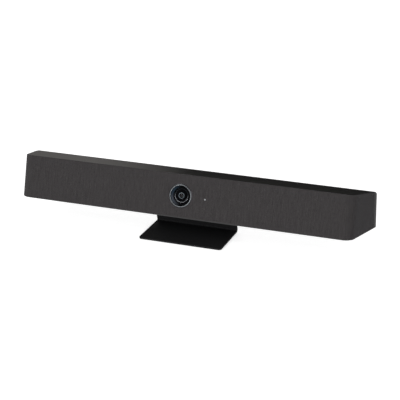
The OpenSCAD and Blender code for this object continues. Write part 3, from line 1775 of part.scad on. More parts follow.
module foot_pads() {
  x = foot_w / 2 - pad_in;
  color([0.03, 0.03, 0.03])
    for (s = [-1, 1], y = [foot_y + pad_in, heel_y - pad_in])
      translate([s * x, y, 0])
        rod(pad_r, 0, pad_h);
}

rear_housing();
grille_carrier();
grille_cloth();
top_panel();
lens_ring();
lens_recess();
shutter_blade();
shutter_pinion();
shutter_motor();
shutter_guide();
guide_screws();
lens_barrel();
lens_retainer();
front_element();
rear_element();
lens_holder();
image_sensor();
camera_board();
camera_screws();
light_pipe();
light_chip();
light_board();
mic_board();
mic_cans();
mic_gaskets();
mirror([1, 0, 0]) speaker_box();  // speaker_box_left
speaker_box();  // speaker_box_right
mirror([1, 0, 0]) basket();  // basket_left
basket();  // basket_right
mirror([1, 0, 0]) magnet();  // magnet_left
magnet();  // magnet_right
mirror([1, 0, 0]) cone();  // cone_left
cone();  // cone_right
mirror([1, 0, 0]) dust_cap();  // dust_cap_left
dust_cap();  // dust_cap_right
mirror([1, 0, 0]) surround();  // surround_left
surround();  // surround_right
mirror([1, 0, 0]) spider();  // spider_left
spider();  // spider_right
speaker_screws();
speaker_leads();
main_board();
chips();
heat_pad();
heat_sink();
board_screws();
port_network();
port_video();
port_data();
port_power();
button(power_button_x);  // button_power
button(pair_button_x);  // button_pair
switches();
threaded_inserts();
case_screws();
ribbon_plugs();
ribbons();
stand_plate();
stand_screws();
foot_pads();
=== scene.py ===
# Looks for the conference camera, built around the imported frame. Metres, +Z up, the front faces -Y.
import math

import bmesh
import bpy
from mathutils import Matrix, Vector

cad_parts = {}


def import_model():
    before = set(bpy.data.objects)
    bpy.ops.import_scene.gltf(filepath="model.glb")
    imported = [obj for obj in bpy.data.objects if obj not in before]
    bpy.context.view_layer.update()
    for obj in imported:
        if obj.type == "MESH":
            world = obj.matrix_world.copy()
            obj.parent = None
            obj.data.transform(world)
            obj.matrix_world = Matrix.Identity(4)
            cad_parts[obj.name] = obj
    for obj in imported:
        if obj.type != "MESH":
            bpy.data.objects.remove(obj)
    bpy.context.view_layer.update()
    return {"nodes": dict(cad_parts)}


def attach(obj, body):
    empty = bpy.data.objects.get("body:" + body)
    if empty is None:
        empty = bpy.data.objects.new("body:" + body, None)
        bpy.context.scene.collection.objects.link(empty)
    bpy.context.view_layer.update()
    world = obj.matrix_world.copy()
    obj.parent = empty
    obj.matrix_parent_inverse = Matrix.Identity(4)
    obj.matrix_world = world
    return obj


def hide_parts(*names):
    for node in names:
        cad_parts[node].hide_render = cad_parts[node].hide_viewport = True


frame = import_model()
nodes = frame["nodes"]

# ---------------------------------------------------------------- sizes that match part.scad, in metres
MM = 0.001
BAR_Y = -53.6472 * MM
EDGE_Z = 54.6 * MM
TILT = math.radians(5)
LEAN = math.radians(10)
FACE = TILT + LEAN
BAR_D, BAR_H, TOP_DROP = 102 * MM, 78.4 * MM, 13.2 * MM
BAR_W, FRONT_W, CORNER_R = 680 * MM, 635 * MM, 20 * MM
POKE = 0.1 * MM                    # how far the corner arcs reach past the faces they join
LIP_T, RIM_D, FOLD, CLOTH_T = 1.5 * MM, 8 * MM, 3 * MM, 0.8 * MM
LENS_UP = 40.3 * MM
LED_X, LED_UP = 47 * MM, 39 * MM
RING_HOLE_R, LED_HOLE_R = 20.7 * MM, 1.5 * MM      # holes in the cloth
SETBACK = BAR_H * math.tan(LEAN)
TOP_A = math.atan(TOP_DROP / (BAR_D - SETBACK))
FLARE = math.atan((BAR_W - FRONT_W) / 2 / (BAR_D * math.cos(LEAN)))
CORNER_X = FRONT_W / 2 - CORNER_R * math.tan((math.pi / 2 - FLARE) / 2)
TOP_LINE = SETBACK * math.sin(TOP_A) + BAR_H * math.cos(TOP_A)


def face_pt(x, w, v):
    """Face frame (w into the face, v up along it) to world."""
    c, s = math.cos(FACE), math.sin(FACE)
    return Vector((x, BAR_Y + w * c + v * s, EDGE_Z - w * s + v * c))


# Turns +Y up along the front face and +Z out of it
FACE_ROT = Matrix(((1, 0, 0), (0, math.sin(FACE), math.cos(FACE)),
                   (0, -math.cos(FACE), math.sin(FACE)))).transposed()


def placed(name, data):
    """A new object of that data in the scene."""
    ob = bpy.data.objects.new(name, data)
    bpy.context.scene.collection.objects.link(ob)
    return ob


# ---------------------------------------------------------------- camera
def add_camera():
    """The photograph's camera, from a fit to its edges; t leads to the bar's front bottom edge, in its axes."""
    photo_w, sensor = 400, 36                      # pixels, millimetres
    yaw, pitch, focal = -0.354, 0.365, 1226.07     # radians, radians, pixels
    t = Vector((-38.83, 32.25, 2216.13)) * MM
    c, s = math.cos(yaw), math.sin(yaw)
    rz = Matrix(((c, -s, 0), (s, c, 0), (0, 0, 1)))
    c, s = math.cos(pitch), math.sin(pitch)
    rx = Matrix(((1, 0, 0), (0, c, -s), (0, s, c)))
    b = Matrix(((1, 0, 0), (0, 0, -1), (0, 1, 0)))
    r = b @ rx @ rz
    place = -(r.transposed() @ t) + Vector((0, BAR_Y, EDGE_Z))
    cam = bpy.data.cameras.new("view")
    cam.sensor_width = sensor
    cam.lens = focal / photo_w * sensor
    cam.clip_start, cam.clip_end = 0.05, 50
    ob = placed("view", cam)
    m = Matrix((r[0], -r[1], -r[2])).transposed().to_4x4()
    m.translation = place
    ob.matrix_world = m
    bpy.context.scene.camera = ob


add_camera()


# ---------------------------------------------------------------- material helpers
class Mat:
    """A small wrapper that keeps node code short."""

    def __init__(self, name):
        self.m = bpy.data.materials.new(name)
        self.m.use_nodes = True
        self.t = self.m.node_tree
        self.n = self.t.nodes
        self.bsdf = self.n["Principled BSDF"]
        self._pos = None

    def node(self, kind, **kw):
        nd = self.n.new(kind)
        for k, v in kw.items():
            setattr(nd, k, v)
        return nd

    def link(self, a, b):
        self.t.links.new(a, b)

    def set(self, **kw):
        names = {"metal": "Metallic", "ior": "IOR", "spec": "Specular IOR Level", "sheen": "Sheen Weight",
                 "sheen_rough": "Sheen Roughness", "trans": "Transmission Weight", "emit": "Emission Strength"}
        colors = {"color": "Base Color", "emit_color": "Emission Color", "sheen_tint": "Sheen Tint"}
        for k, v in kw.items():
            if k in colors:
                self.bsdf.inputs[colors[k]].default_value = (*v, 1)
            else:
                self.bsdf.inputs[names[k]].default_value = v

    def coords(self):
        if self._pos is None:
            self._pos = self.node("ShaderNodeTexCoord").outputs["Object"]
        return self._pos

    def scaled(self, sx, sy, sz, src=None):
        mp = self.node("ShaderNodeMapping")
        mp.inputs["Scale"].default_value = (sx, sy, sz)
        self.link(src or self.coords(), mp.inputs["Vector"])
        return mp.outputs["Vector"]

    def vmath(self, op, a, b=None):
        nd = self.node("ShaderNodeVectorMath", operation=op)
        for i, v in enumerate((a, b)):
            if v is None:
                continue
            if isinstance(v, (tuple, Vector)):
                nd.inputs[i].default_value = tuple(v)
            else:
                self.link(v, nd.inputs[i])
        return nd.outputs["Value" if op in ("LENGTH", "DOT_PRODUCT") else "Vector"]

    def from_lens(self):
        """Distance from the lens axis in millimetres, and the shares of it to the left and down."""
        arm = self.vmath("SUBTRACT", self.coords(), face_pt(0, 0, LENS_UP))
        r = self.vmath("LENGTH", self.vmath("CROSS_PRODUCT", arm, face_pt(0, 1, 0) - face_pt(0, 0, 0)))
        left = self.math("DIVIDE", self.vmath("DOT_PRODUCT", arm, (-1, 0, 0)), r)
        down = self.math("DIVIDE", self.vmath("DOT_PRODUCT", arm, face_pt(0, 0, 0) - face_pt(0, 0, 1)), r)
        return self.math("MULTIPLY", r, 1000.0), left, down

    def band(self, value, *stops):
        """Piecewise level over a value; stops are (value, level) pairs in rising order."""
        lo, hi = stops[0][0], stops[-1][0]
        share = self.math("DIVIDE", self.math("SUBTRACT", value, lo), hi - lo, True)
        return self.ramp(share, [((v - lo) / (hi - lo), lv) for v, lv in stops])

    def noise(self, scale, detail=3, rough=0.5, vec=None):
        nd = self.node("ShaderNodeTexNoise")
        nd.inputs["Scale"].default_value = scale
        nd.inputs["Detail"].default_value = detail
        nd.inputs["Roughness"].default_value = rough
        self.link(vec or self.coords(), nd.inputs["Vector"])
        return nd.outputs["Fac"]

    def cells(self, scale, vec=None):
        nd = self.node("ShaderNodeTexVoronoi")
        nd.inputs["Scale"].default_value = scale
        self.link(vec or self.coords(), nd.inputs["Vector"])
        return nd.outputs["Distance"]

    def ramp(self, fac, stops):
        nd = self.node("ShaderNodeValToRGB")
        el = nd.color_ramp.elements
        while len(el) > len(stops):
            el.remove(el[-1])
        while len(el) < len(stops):
            el.new(0.5)
        for e, (p, c) in zip(el, stops):
            e.position = p
            e.color = (*c, 1) if hasattr(c, "__len__") else (c, c, c, 1)
        self.link(fac, nd.inputs["Fac"])
        return nd.outputs["Color"]

    def math(self, op, a, b=None, clamp=False):
        nd = self.node("ShaderNodeMath", operation=op, use_clamp=clamp)
        for i, v in enumerate((a, b)):
            if v is None:
                continue
            if isinstance(v, (int, float)):
                nd.inputs[i].default_value = v
            else:
                self.link(v, nd.inputs[i])
        return nd.outputs["Value"]

    def mixc(self, fac, a, b, mode="MIX"):
        nd = self.node("ShaderNodeMix", data_type="RGBA", blend_type=mode)
        for sock, v in ((nd.inputs[0], fac), (nd.inputs[6], a), (nd.inputs[7], b)):
            if isinstance(v, (int, float)):
                sock.default_value = v
            elif isinstance(v, tuple):
                sock.default_value = (*v, 1)
            else:
                self.link(v, sock)
        return nd.outputs[2]

    def color(self, sock):
        self.link(sock, self.bsdf.inputs["Base Color"])

    def rough(self, sock):
        self.link(sock, self.bsdf.inputs["Roughness"])

    def bump(self, height, dist, strength=1.0):
        nd = self.node("ShaderNodeBump")
        nd.inputs["Distance"].default_value = dist
        nd.inputs["Strength"].default_value = strength
        self.link(height, nd.inputs["Height"])
        self.link(nd.outputs["Normal"], self.bsdf.inputs["Normal"])


def near(base, k):
    """A colour k times as light."""
    return tuple(min(1.0, c * k) for c in base)


def plastic(name, base, rough=0.5, grain=2600, depth=0.00004, spec=0.5):
    """Moulded plastic: fine spark-eroded grain, slight tone drift."""
    spread, wear = 0.12, 0.06
    m = Mat(name)
    m.set(spec=spec)
    drift = m.noise(14, 2)
    m.color(m.mixc(drift, near(base, 1 - spread), near(base, 1 + spread)))
    fine = m.noise(grain, 2, 0.6)
    m.rough(m.math("ADD", m.math("MULTIPLY", fine, wear * 2), rough - wear))
    m.bump(fine, depth)
    return m.m


def metal(name, base, rough=0.3, brush=None):
    """Plated or machined metal with faint tool marks; brush gives their scales where they run one way."""
    spread, wear = 0.05, 0.08
    m = Mat(name)
    m.set(metal=1.0)
    marks = m.noise(1, 3, 0.6, m.scaled(*brush)) if brush else m.noise(900, 3, 0.6)
    m.color(m.mixc(marks, near(base, 1 - spread), near(base, 1 + spread)))
    m.rough(m.math("ADD", m.math("MULTIPLY", marks, wear * 2), rough - wear))
    m.bump(marks, 0.000008)
    return m.m


def rubber(name, base, rough=0.75):
    """Dull rubber or foam with a fine mottle."""
    m = Mat(name)
    m.set(spec=0.35)
    fine = m.noise(1800, 3, 0.65)
    m.color(m.mixc(fine, near(base, 0.8), near(base, 1.25)))
    m.rough(m.math("ADD", m.math("MULTIPLY", fine, 0.15), rough - 0.07))
    m.bump(fine, 0.00005)
    return m.m


def board(name):
    """Solder mask with traces and a scatter of pads."""
    m = Mat(name)
    m.set(spec=0.5)
    tex = m.node("ShaderNodeTexBrick", offset=0.37, squash=0.6, squash_frequency=3)
    tex.inputs["Scale"].default_value = 1
    tex.inputs["Mortar Size"].default_value = 0.06
    tex.inputs["Mortar Smooth"].default_value = 0.1
    tex.inputs["Brick Width"].default_value = 6.3
    tex.inputs["Row Height"].default_value = 0.9
    m.link(m.scaled(1000, 1000, 1000), tex.inputs["Vector"])
    trace = tex.outputs["Fac"]
    pads = m.ramp(m.cells(420), [(0.0, 1.0), (0.16, 1.0), (0.2, 0.0)])
    green = m.mixc(trace, (0.006, 0.075, 0.03), (0.012, 0.13, 0.05))
    m.color(m.mixc(m.math("MULTIPLY", pads, m.math("GREATER_THAN", m.noise(90, 1), 0.56)),
                   green, (0.55, 0.45, 0.2)))
    m.rough(m.math("ADD", m.math("MULTIPLY", trace, 0.1), 0.32))
    m.bump(trace, 0.00003)
    return m.m


def cone_paper(name, base):
    """Pressed paper with visible fibres."""
    m = Mat(name)
    m.set(spec=0.3)
    fibre = m.noise(700, 4, 0.7)
    m.color(m.mixc(fibre, near(base, 0.7), near(base, 1.4)))
    m.rough(m.math("ADD", m.math("MULTIPLY", fibre, 0.2), 0.62))
    m.bump(fibre, 0.0001)
    return m.m


def recess_plastic():
    """Black lens surround: dull, with a painted blue sheen (a painted reflection) on the left side of its
    funnel, lighter towards the bottom.
    """
    m = Mat("recess_black")
    m.set(spec=0.02)
    r, left, down = m.from_lens()
    fine = m.noise(3000, 2, 0.6)
    # Painted reflection: a bluish sheen painted on the left side of the funnel, lighter towards the bottom
    painted_sheen_mask = m.math("MULTIPLY", m.band(r, (14.6, 0.15), (15.8, 0.6), (18.4, 1.0)),
                   m.band(left, (0.1, 0.0), (0.8, 1.0)))
    sheen = m.mixc(m.band(down, (-0.3, 0.0), (0.35, 1.0)), (0.02, 0.034, 0.05), (0.058, 0.066, 0.082))
    m.color(m.mixc(painted_sheen_mask, (0.0014, 0.0017, 0.002), sheen))
    m.rough(m.math("ADD", m.math("MULTIPLY", fine, 0.12), 0.34))
    m.bump(fine, 0.00001)
    return m.m


def barrel_black():
    """Black lens barrel whose rim bevel is left as bare metal, with a painted highlight on the bevel's lower
    side.
    """
    m = Mat("barrel_black")
    m.set(spec=0.01)
    r, _, down = m.from_lens()
    fine = m.noise(900, 3, 0.6)
    bare = m.band(r, (11.7, 0.0), (11.95, 1.0), (12.65, 1.0), (12.8, 0.0))
    m.link(bare, m.bsdf.inputs["Metallic"])
    # Painted highlight: the bare rim is painted light on its lower side and dark on its upper side
    rim_painted_highlight = m.mixc(m.band(down, (-0.3, 0.0), (0.5, 1.0)), (0.025, 0.028, 0.032), (0.3, 0.31, 0.33))
    m.color(m.mixc(bare, (0.0012, 0.0014, 0.0017), rim_painted_highlight))
    m.rough(m.math("ADD", m.math("MULTIPLY", fine, 0.1), 0.3))
    m.bump(fine, 0.000004)
    return m.m


def retainer_metal():
    """Dark retaining ring with a satin face."""
    m = Mat("retainer_satin")
    m.set(metal=1.0)
    r, _, _ = m.from_lens()
    face = m.band(r, (4.3, 0.2), (4.6, 1.0), (5.35, 1.0), (5.6, 0.0))
    satin = m.mixc(m.noise(500, 2), (0.052, 0.06, 0.068), (0.064, 0.074, 0.082))
    m.color(m.mixc(face, (0.004, 0.0045, 0.005), satin))
    m.rough(m.math("ADD", m.math("MULTIPLY", m.noise(900, 3, 0.6), 0.12), 0.3))
    m.bump(m.math("SINE", m.math("MULTIPLY", r, 50.0)), 0.000003)
    return m.m


def ring_metal():
    """Dark anodised ring with a bright turned crest, and a painted bluish reflection on the left of its inner
    side.
    """
    m = Mat("ring_anodised")
    m.set(metal=1.0)
    r, left, _ = m.from_lens()
    turned = m.math("SINE", m.math("MULTIPLY", r, 42.0))
    crest = m.band(r, (18.9, 0.0), (19.2, 1.0), (20.3, 1.0), (20.8, 0.0))
    # Painted reflection: the inner side of the ring is painted bluish and lighter on its left
    painted_wall_reflection = m.mixc(m.band(left, (0.0, 0.0), (0.8, 1.0)), (0.015, 0.017, 0.02), (0.1, 0.12, 0.145))
    dark = m.mixc(m.band(r, (19.0, 0.0), (19.4, 1.0)), painted_wall_reflection, (0.028, 0.028, 0.03))
    m.color(m.mixc(crest, dark, (0.085, 0.09, 0.095)))
    m.rough(m.math("ADD", m.math("MULTIPLY", m.noise(900, 3, 0.6), 0.1), 0.24))
    m.bump(turned, 0.000004)
    return m.m


def glass(name, tint, rough=0.02, ior=1.5):
    """Clear or tinted glass; a coated element takes a low index, which stands for its weak reflection."""
    m = Mat(name)
    smear = m.noise(60, 3)
    m.set(trans=1.0, ior=ior)
    m.color(m.mixc(smear, near(tint, 0.92), tint))
    m.rough(m.math("MULTIPLY", smear, rough))
    m.bump(smear, 0.000002)
    return m.m


def cloth_material():
    """Charcoal speaker cloth: a plain weave of two dark yarns, thread by thread, with slubs."""
    m = Mat("grille_weave")
    m.set(spec=0.12, sheen=0.04, sheen_rough=0.5, sheen_tint=(0.9, 0.93, 1.0))
    uv = m.node("ShaderNodeUVMap", uv_map="weave").outputs["UV"]
    sep = m.node("ShaderNodeSeparateXYZ")
    m.link(uv, sep.inputs[0])
    pitch = 0.0007                 # of the threads
    k = math.pi / pitch
    wob = m.noise(90, 2, 0.5, uv)
    shift = m.math("MULTIPLY", m.math("SUBTRACT", wob, 0.5), 0.5)
    u = m.math("ADD", m.math("MULTIPLY", sep.outputs[0], k), shift)
    v = m.math("ADD", m.math("MULTIPLY", sep.outputs[1], k), shift)
    su, sv = m.math("SINE", u), m.math("SINE", v)
    over = m.math("MULTIPLY", su, sv)
    warp = m.math("MULTIPLY", m.math("ABSOLUTE", su), m.math("ADD", m.math("MULTIPLY", over, 0.5), 0.5))
    weft = m.math("MULTIPLY", m.math("ABSOLUTE", sv), m.math("SUBTRACT", 0.5, m.math("MULTIPLY", over, 0.5)))
    height = m.math("MAXIMUM", warp, weft)
    # Tone: yarn tops lighter and gaps darker, as painted light and shade of the weave, and slow slubs that run
    # up and down the face
    streak = m.noise(1, 3, 0.6, m.scaled(620, 34, 1, uv))
    slub = m.noise(1, 2, 0.5, m.scaled(420, 170, 1, uv))
    tone = m.ramp(height, [(0.0, (0.0105, 0.0096, 0.0098)), (0.45, (0.0325, 0.0298, 0.0304)),
                           (1.0, (0.063, 0.0578, 0.059))])
    drift = m.ramp(streak, [(0.3, 0.82), (0.7, 1.18)])
    spots = m.ramp(slub, [(0.26, 0.74), (0.42, 1.0), (0.6, 1.0), (0.74, 1.24)])
    m.color(m.mixc(1.0, m.mixc(1.0, tone, drift, "MULTIPLY"), spots, "MULTIPLY"))
    m.rough(m.math("SUBTRACT", 0.92, m.math("MULTIPLY", height, 0.12)))
    m.bump(height, 0.00022, 0.9)
    return m.m


def panel_material():
    """Satin painted top panel with a very fine orange peel."""
    m = Mat("top_satin")
    m.set(spec=0.14)
    peel = m.noise(900, 2, 0.5)
    wide = m.noise(7, 2)
    m.color(m.mixc(wide, (0.0155, 0.015, 0.0144), (0.0195, 0.0189, 0.0181)))
    m.rough(m.math("ADD", m.math("MULTIPLY", peel, 0.08), 0.26))
    m.bump(peel, 0.000006)
    return m.m


def powder(name, base, rough, spec=0.4):
    """Powder coat with a fine grit."""
    m = Mat(name)
    m.set(spec=spec)
    grit = m.noise(2200, 3, 0.7)
    cell = m.cells(1500)
    m.color(m.mixc(grit, near(base, 0.8), near(base, 1.3)))
    m.rough(m.math("ADD", m.math("MULTIPLY", grit, 0.14), rough - 0.07))
    m.bump(m.math("ADD", m.math("MULTIPLY", cell, 0.6), grit), 0.00006)
    return m.m


def lit_light():
    """Frosted light pipe, lit white."""
    m = Mat("status_light")
    m.set(color=(0.25, 0.26, 0.27), emit_color=(0.95, 0.97, 1.0), emit=0.035, spec=0.2)
    haze = m.noise(1200, 2)
    m.rough(m.math("ADD", m.math("MULTIPLY", haze, 0.2), 0.35))
    m.bump(haze, 0.00002)
    return m.m


# ---------------------------------------------------------------- mesh helpers
def face_out(me):
    """Turns all faces of a closed mesh outwards."""
    bm = bmesh.new()
    bm.from_mesh(me)
    bmesh.ops.recalc_face_normals(bm, faces=bm.faces)
    bm.to_mesh(me)
    bm.free()


def add_piece(name, verts, faces, material, body="bar", smooth=35):
    """A closed piece that rides a body."""
    me = bpy.data.meshes.new(name)
    me.from_pydata([tuple(v) for v in verts], [], faces)
    me.validate()
    ob = placed(name, me)
    face_out(me)
    me.materials.append(material)
    shade(me, smooth)
    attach(ob, body)
    return ob


def shade(me, angle):
    """Smooth shading, with edges over the angle (degrees) kept sharp."""
    me.polygons.foreach_set("use_smooth", [True] * len(me.polygons))
    me.set_sharp_from_angle(angle=math.radians(angle))


def revolve(name, profile, centre, material, segs=128, body="bar", closed=True, smooth=35):
    """Turns a profile of (radius, depth into the face) round the face normal at centre = (x, v)."""
    verts, faces, rings = [], [], []
    for r, w in profile:
        if r < 1e-9:
            rings.append([len(verts)])
            verts.append(face_pt(centre[0], w, centre[1]))
        else:
            ring = []
            for i in range(segs):
                a = 2 * math.pi * i / segs
                ring.append(len(verts))
                verts.append(face_pt(centre[0] + r * math.cos(a), w, centre[1] + r * math.sin(a)))
            rings.append(ring)
    pairs = list(zip(rings, rings[1:])) + ([(rings[-1], rings[0])] if closed else [])
    for a, b in pairs:
        if len(a) == 1 and len(b) == 1:
            continue
        for i in range(segs):
            j = (i + 1) % segs
            if len(a) == 1:
                faces.append((a[0], b[j], b[i]))
            elif len(b) == 1:
                faces.append((a[i], a[j], b[0]))
            else:
                faces.append((a[i], a[j], b[j], b[i]))
    return add_piece(name, verts, faces, material, body, smooth)


def quarter(n):
    """Cosine and sine at n equal steps from 0 to 90 degrees."""
    return [(math.cos(a), math.sin(a)) for a in (math.radians(90 * i / n) for i in range(n + 1))]


def eased_copy(node, width, material, body="bar"):
    """A copy of a CAD node with its sharp edges rounded a little, which stands for that node."""
    merge, flat, sharp = 1e-6, math.radians(0.4), math.radians(28)
    me = nodes[node].data.copy()
    ob = placed(node + "_eased", me)
    me.materials.clear()
    me.materials.append(material)
    bm = bmesh.new()
    bm.from_mesh(me)
    bmesh.ops.remove_doubles(bm, verts=bm.verts, dist=merge)
    bmesh.ops.dissolve_limit(bm, angle_limit=flat, verts=bm.verts, edges=bm.edges)
    bm.to_mesh(me)
    bm.free()
    mod = ob.modifiers.new("ease", "BEVEL")
    mod.width = width
    mod.segments = 2
    mod.limit_method = "ANGLE"
    mod.angle_limit = sharp
    bake(ob)
    shade(ob.data, 40)
    even = ob.modifiers.new("even", "WEIGHTED_NORMAL")
    even.weight = 100
    even.keep_sharp = True
    bake(ob)
    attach(ob, body)
    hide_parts(node)


def bake(ob):
    """Applies every modifier of an object to its mesh."""
    bpy.context.view_layer.update()
    dg = bpy.context.evaluated_depsgraph_get()
    me = bpy.data.meshes.new_from_object(ob.evaluated_get(dg))
    ob.modifiers.clear()
    old = ob.data
    ob.data = me
    bpy.data.meshes.remove(old)


# ---------------------------------------------------------------- grille cloth
def grille_cloth(material):
    """One stretched sheet: over the front, round both corners and along the ends, rolled over the top edge."""
    back_y = BAR_D - RIM_D
    cos_lean, sin_lean = math.cos(LEAN), math.sin(LEAN)
    ta = LEAN - TOP_A

    def v_line(mode, val):
        """v as a + b * w on the bottom or top plane, moved in by val."""
        if mode == "bot":
            return (LIP_T + val) / cos_lean, math.tan(LEAN)
        return (TOP_LINE - val) / math.cos(ta), math.tan(ta)

    # Radii of the rolls along the back edge, the top edge, the lip and the end of the fold
    back_roll, top_roll, lip_roll, fold_roll = 0.5 * MM, 1.3 * MM, 0.5 * MM, 0.35 * MM
    front_n, corner_n, end_n, up_n, in_n = 90, 18, 24, 30, 6      # steps along and up the cloth

    # Columns of one half: (kind, share along it, least depth, distance short of the rim)
    half = [("front", i / front_n, 0.0, 0.0) for i in range(front_n + 1)]
    half += [("arc", i / corner_n, 0.0, 0.0) for i in range(1, corner_n + 1)]
    half += [("end", i / end_n, 0.0, 0.0) for i in range(1, end_n)]
    half += [("end", 1.0, back_roll * (1 - c), back_roll * (1 - s)) for c, s in quarter(5)]

    # Rows from the lip up, over the top edge and down the inside: (kind, inset or share, depth)
    rows = [("bot", lip_roll - lip_roll * c, lip_roll - lip_roll * s) for c, s in quarter(4)]
    rows += [("mid", i / up_n, 0.0) for i in range(1, up_n)]
    rows += [("top", top_roll - top_roll * s, top_roll - top_roll * c) for c, s in quarter(7)]
    rows += [("top", fold_roll - fold_roll * c, FOLD - fold_roll + fold_roll * s) for c, s in quarter(4)]
    rows += [("top", CLOTH_T, FOLD), ("top", CLOTH_T, CLOTH_T)]
    rows += [("in", 1 - i / in_n, CLOTH_T) for i in range(1, in_n)] + [("bot", 0.0, CLOTH_T)]

    def point(col, mode, val, d):
        """x, w and v of one column on the bottom or top plane, moved in by val, at depth d."""
        kind, share, dc, off = col
        d = max(d, dc)
        if mode == "top":
            val = max(val, dc)
        a, b = v_line(mode, val)
        r = CORNER_R - d + POKE
        nip = math.acos((r - POKE) / r)
        stop = math.pi / 2 - FLARE - nip
        if kind == "front":
            x, w = (CORNER_X + r * math.sin(nip)) * share, d
        elif kind == "arc":
            ang = nip + (stop - nip) * share
            x, w = CORNER_X + r * math.sin(ang), CORNER_R - r * math.cos(ang)
        else:
            w0 = CORNER_R - r * math.cos(stop)
            x0 = CORNER_X + r * math.sin(stop)
            w1 = (back_y - off - a * sin_lean) / (cos_lean + b * sin_lean)
            w = w0 + (w1 - w0) * share
            x = x0 + (w - w0) * math.tan(FLARE)
        return x, w, a + b * w

    verts, faces, uvs = [], [], []
    cols = [(c, -1) for c in reversed(half[1:])] + [(c, 1) for c in half]
    line_in = 0.3 * MM              # inset of the line on which the run is measured
    run = 0.0
    last = None
    for col, side in cols:
        p0 = point(col, "bot", line_in, 0.0)
        base = Vector((side * p0[0], p0[1]))
        if last is not None:
            run += (base - last).length
        last = base
        vpos, prev = 0.0, None
        for mode, val, d in rows:
            if mode in ("mid", "in"):
                lo, hi = (lip_roll, top_roll) if mode == "mid" else (0.0, CLOTH_T)
                q0, q1 = point(col, "bot", lo, d), point(col, "top", hi, d)
                x, w, v = (q0[k] + (q1[k] - q0[k]) * val for k in range(3))
            else:
                x, w, v = point(col, mode, val, d)
            p = face_pt(side * x, w, v)
            if prev is not None:
                vpos += (p - prev).length
            prev = p
            verts.append(p)
            uvs.append((run, vpos))
    nr, nc = len(rows), len(cols)
    for c in range(nc - 1):
        for r in range(nr):
            r2 = (r + 1) % nr
            faces.append((c * nr + r, (c + 1) * nr + r, (c + 1) * nr + r2, c * nr + r2))
    faces.append(tuple(range(nr)))
    faces.append(tuple(reversed(range((nc - 1) * nr, nc * nr))))
    me = bpy.data.meshes.new("grille_sheet")
    me.from_pydata([tuple(v) for v in verts], [], faces)
    uv = me.uv_layers.new(name="weave")
    for lp in me.loops:
        uv.data[lp.index].uv = uvs[lp.vertex_index]
    ob = placed("grille_sheet", me)
    face_out(me)
    me.materials.append(material)
    # Holes for the lens ring's sleeve and the light
    through = 6 * MM
    for k, (x, v, r) in enumerate(((0, LENS_UP, RING_HOLE_R), (LED_X, LED_UP, LED_HOLE_R))):
        cut = bpy.data.meshes.new("hole")
        bm = bmesh.new()
        bmesh.ops.create_cone(bm, cap_ends=True, segments=96, radius1=r, radius2=r, depth=through)
        m4 = FACE_ROT.to_4x4()
        m4.translation = face_pt(x, 0, v)
        bmesh.ops.transform(bm, matrix=m4, verts=bm.verts)
        bm.to_mesh(cut)
        bm.free()
        tool = placed(f"hole_{k}", cut)
        mod = ob.modifiers.new("hole", "BOOLEAN")
        mod.operation = "DIFFERENCE"
        mod.solver = "EXACT"
        mod.object = tool
        bake(ob)
        bpy.data.objects.remove(tool)
    shade(ob.data, 50)
    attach(ob, "bar")
    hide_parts("grille_cloth")


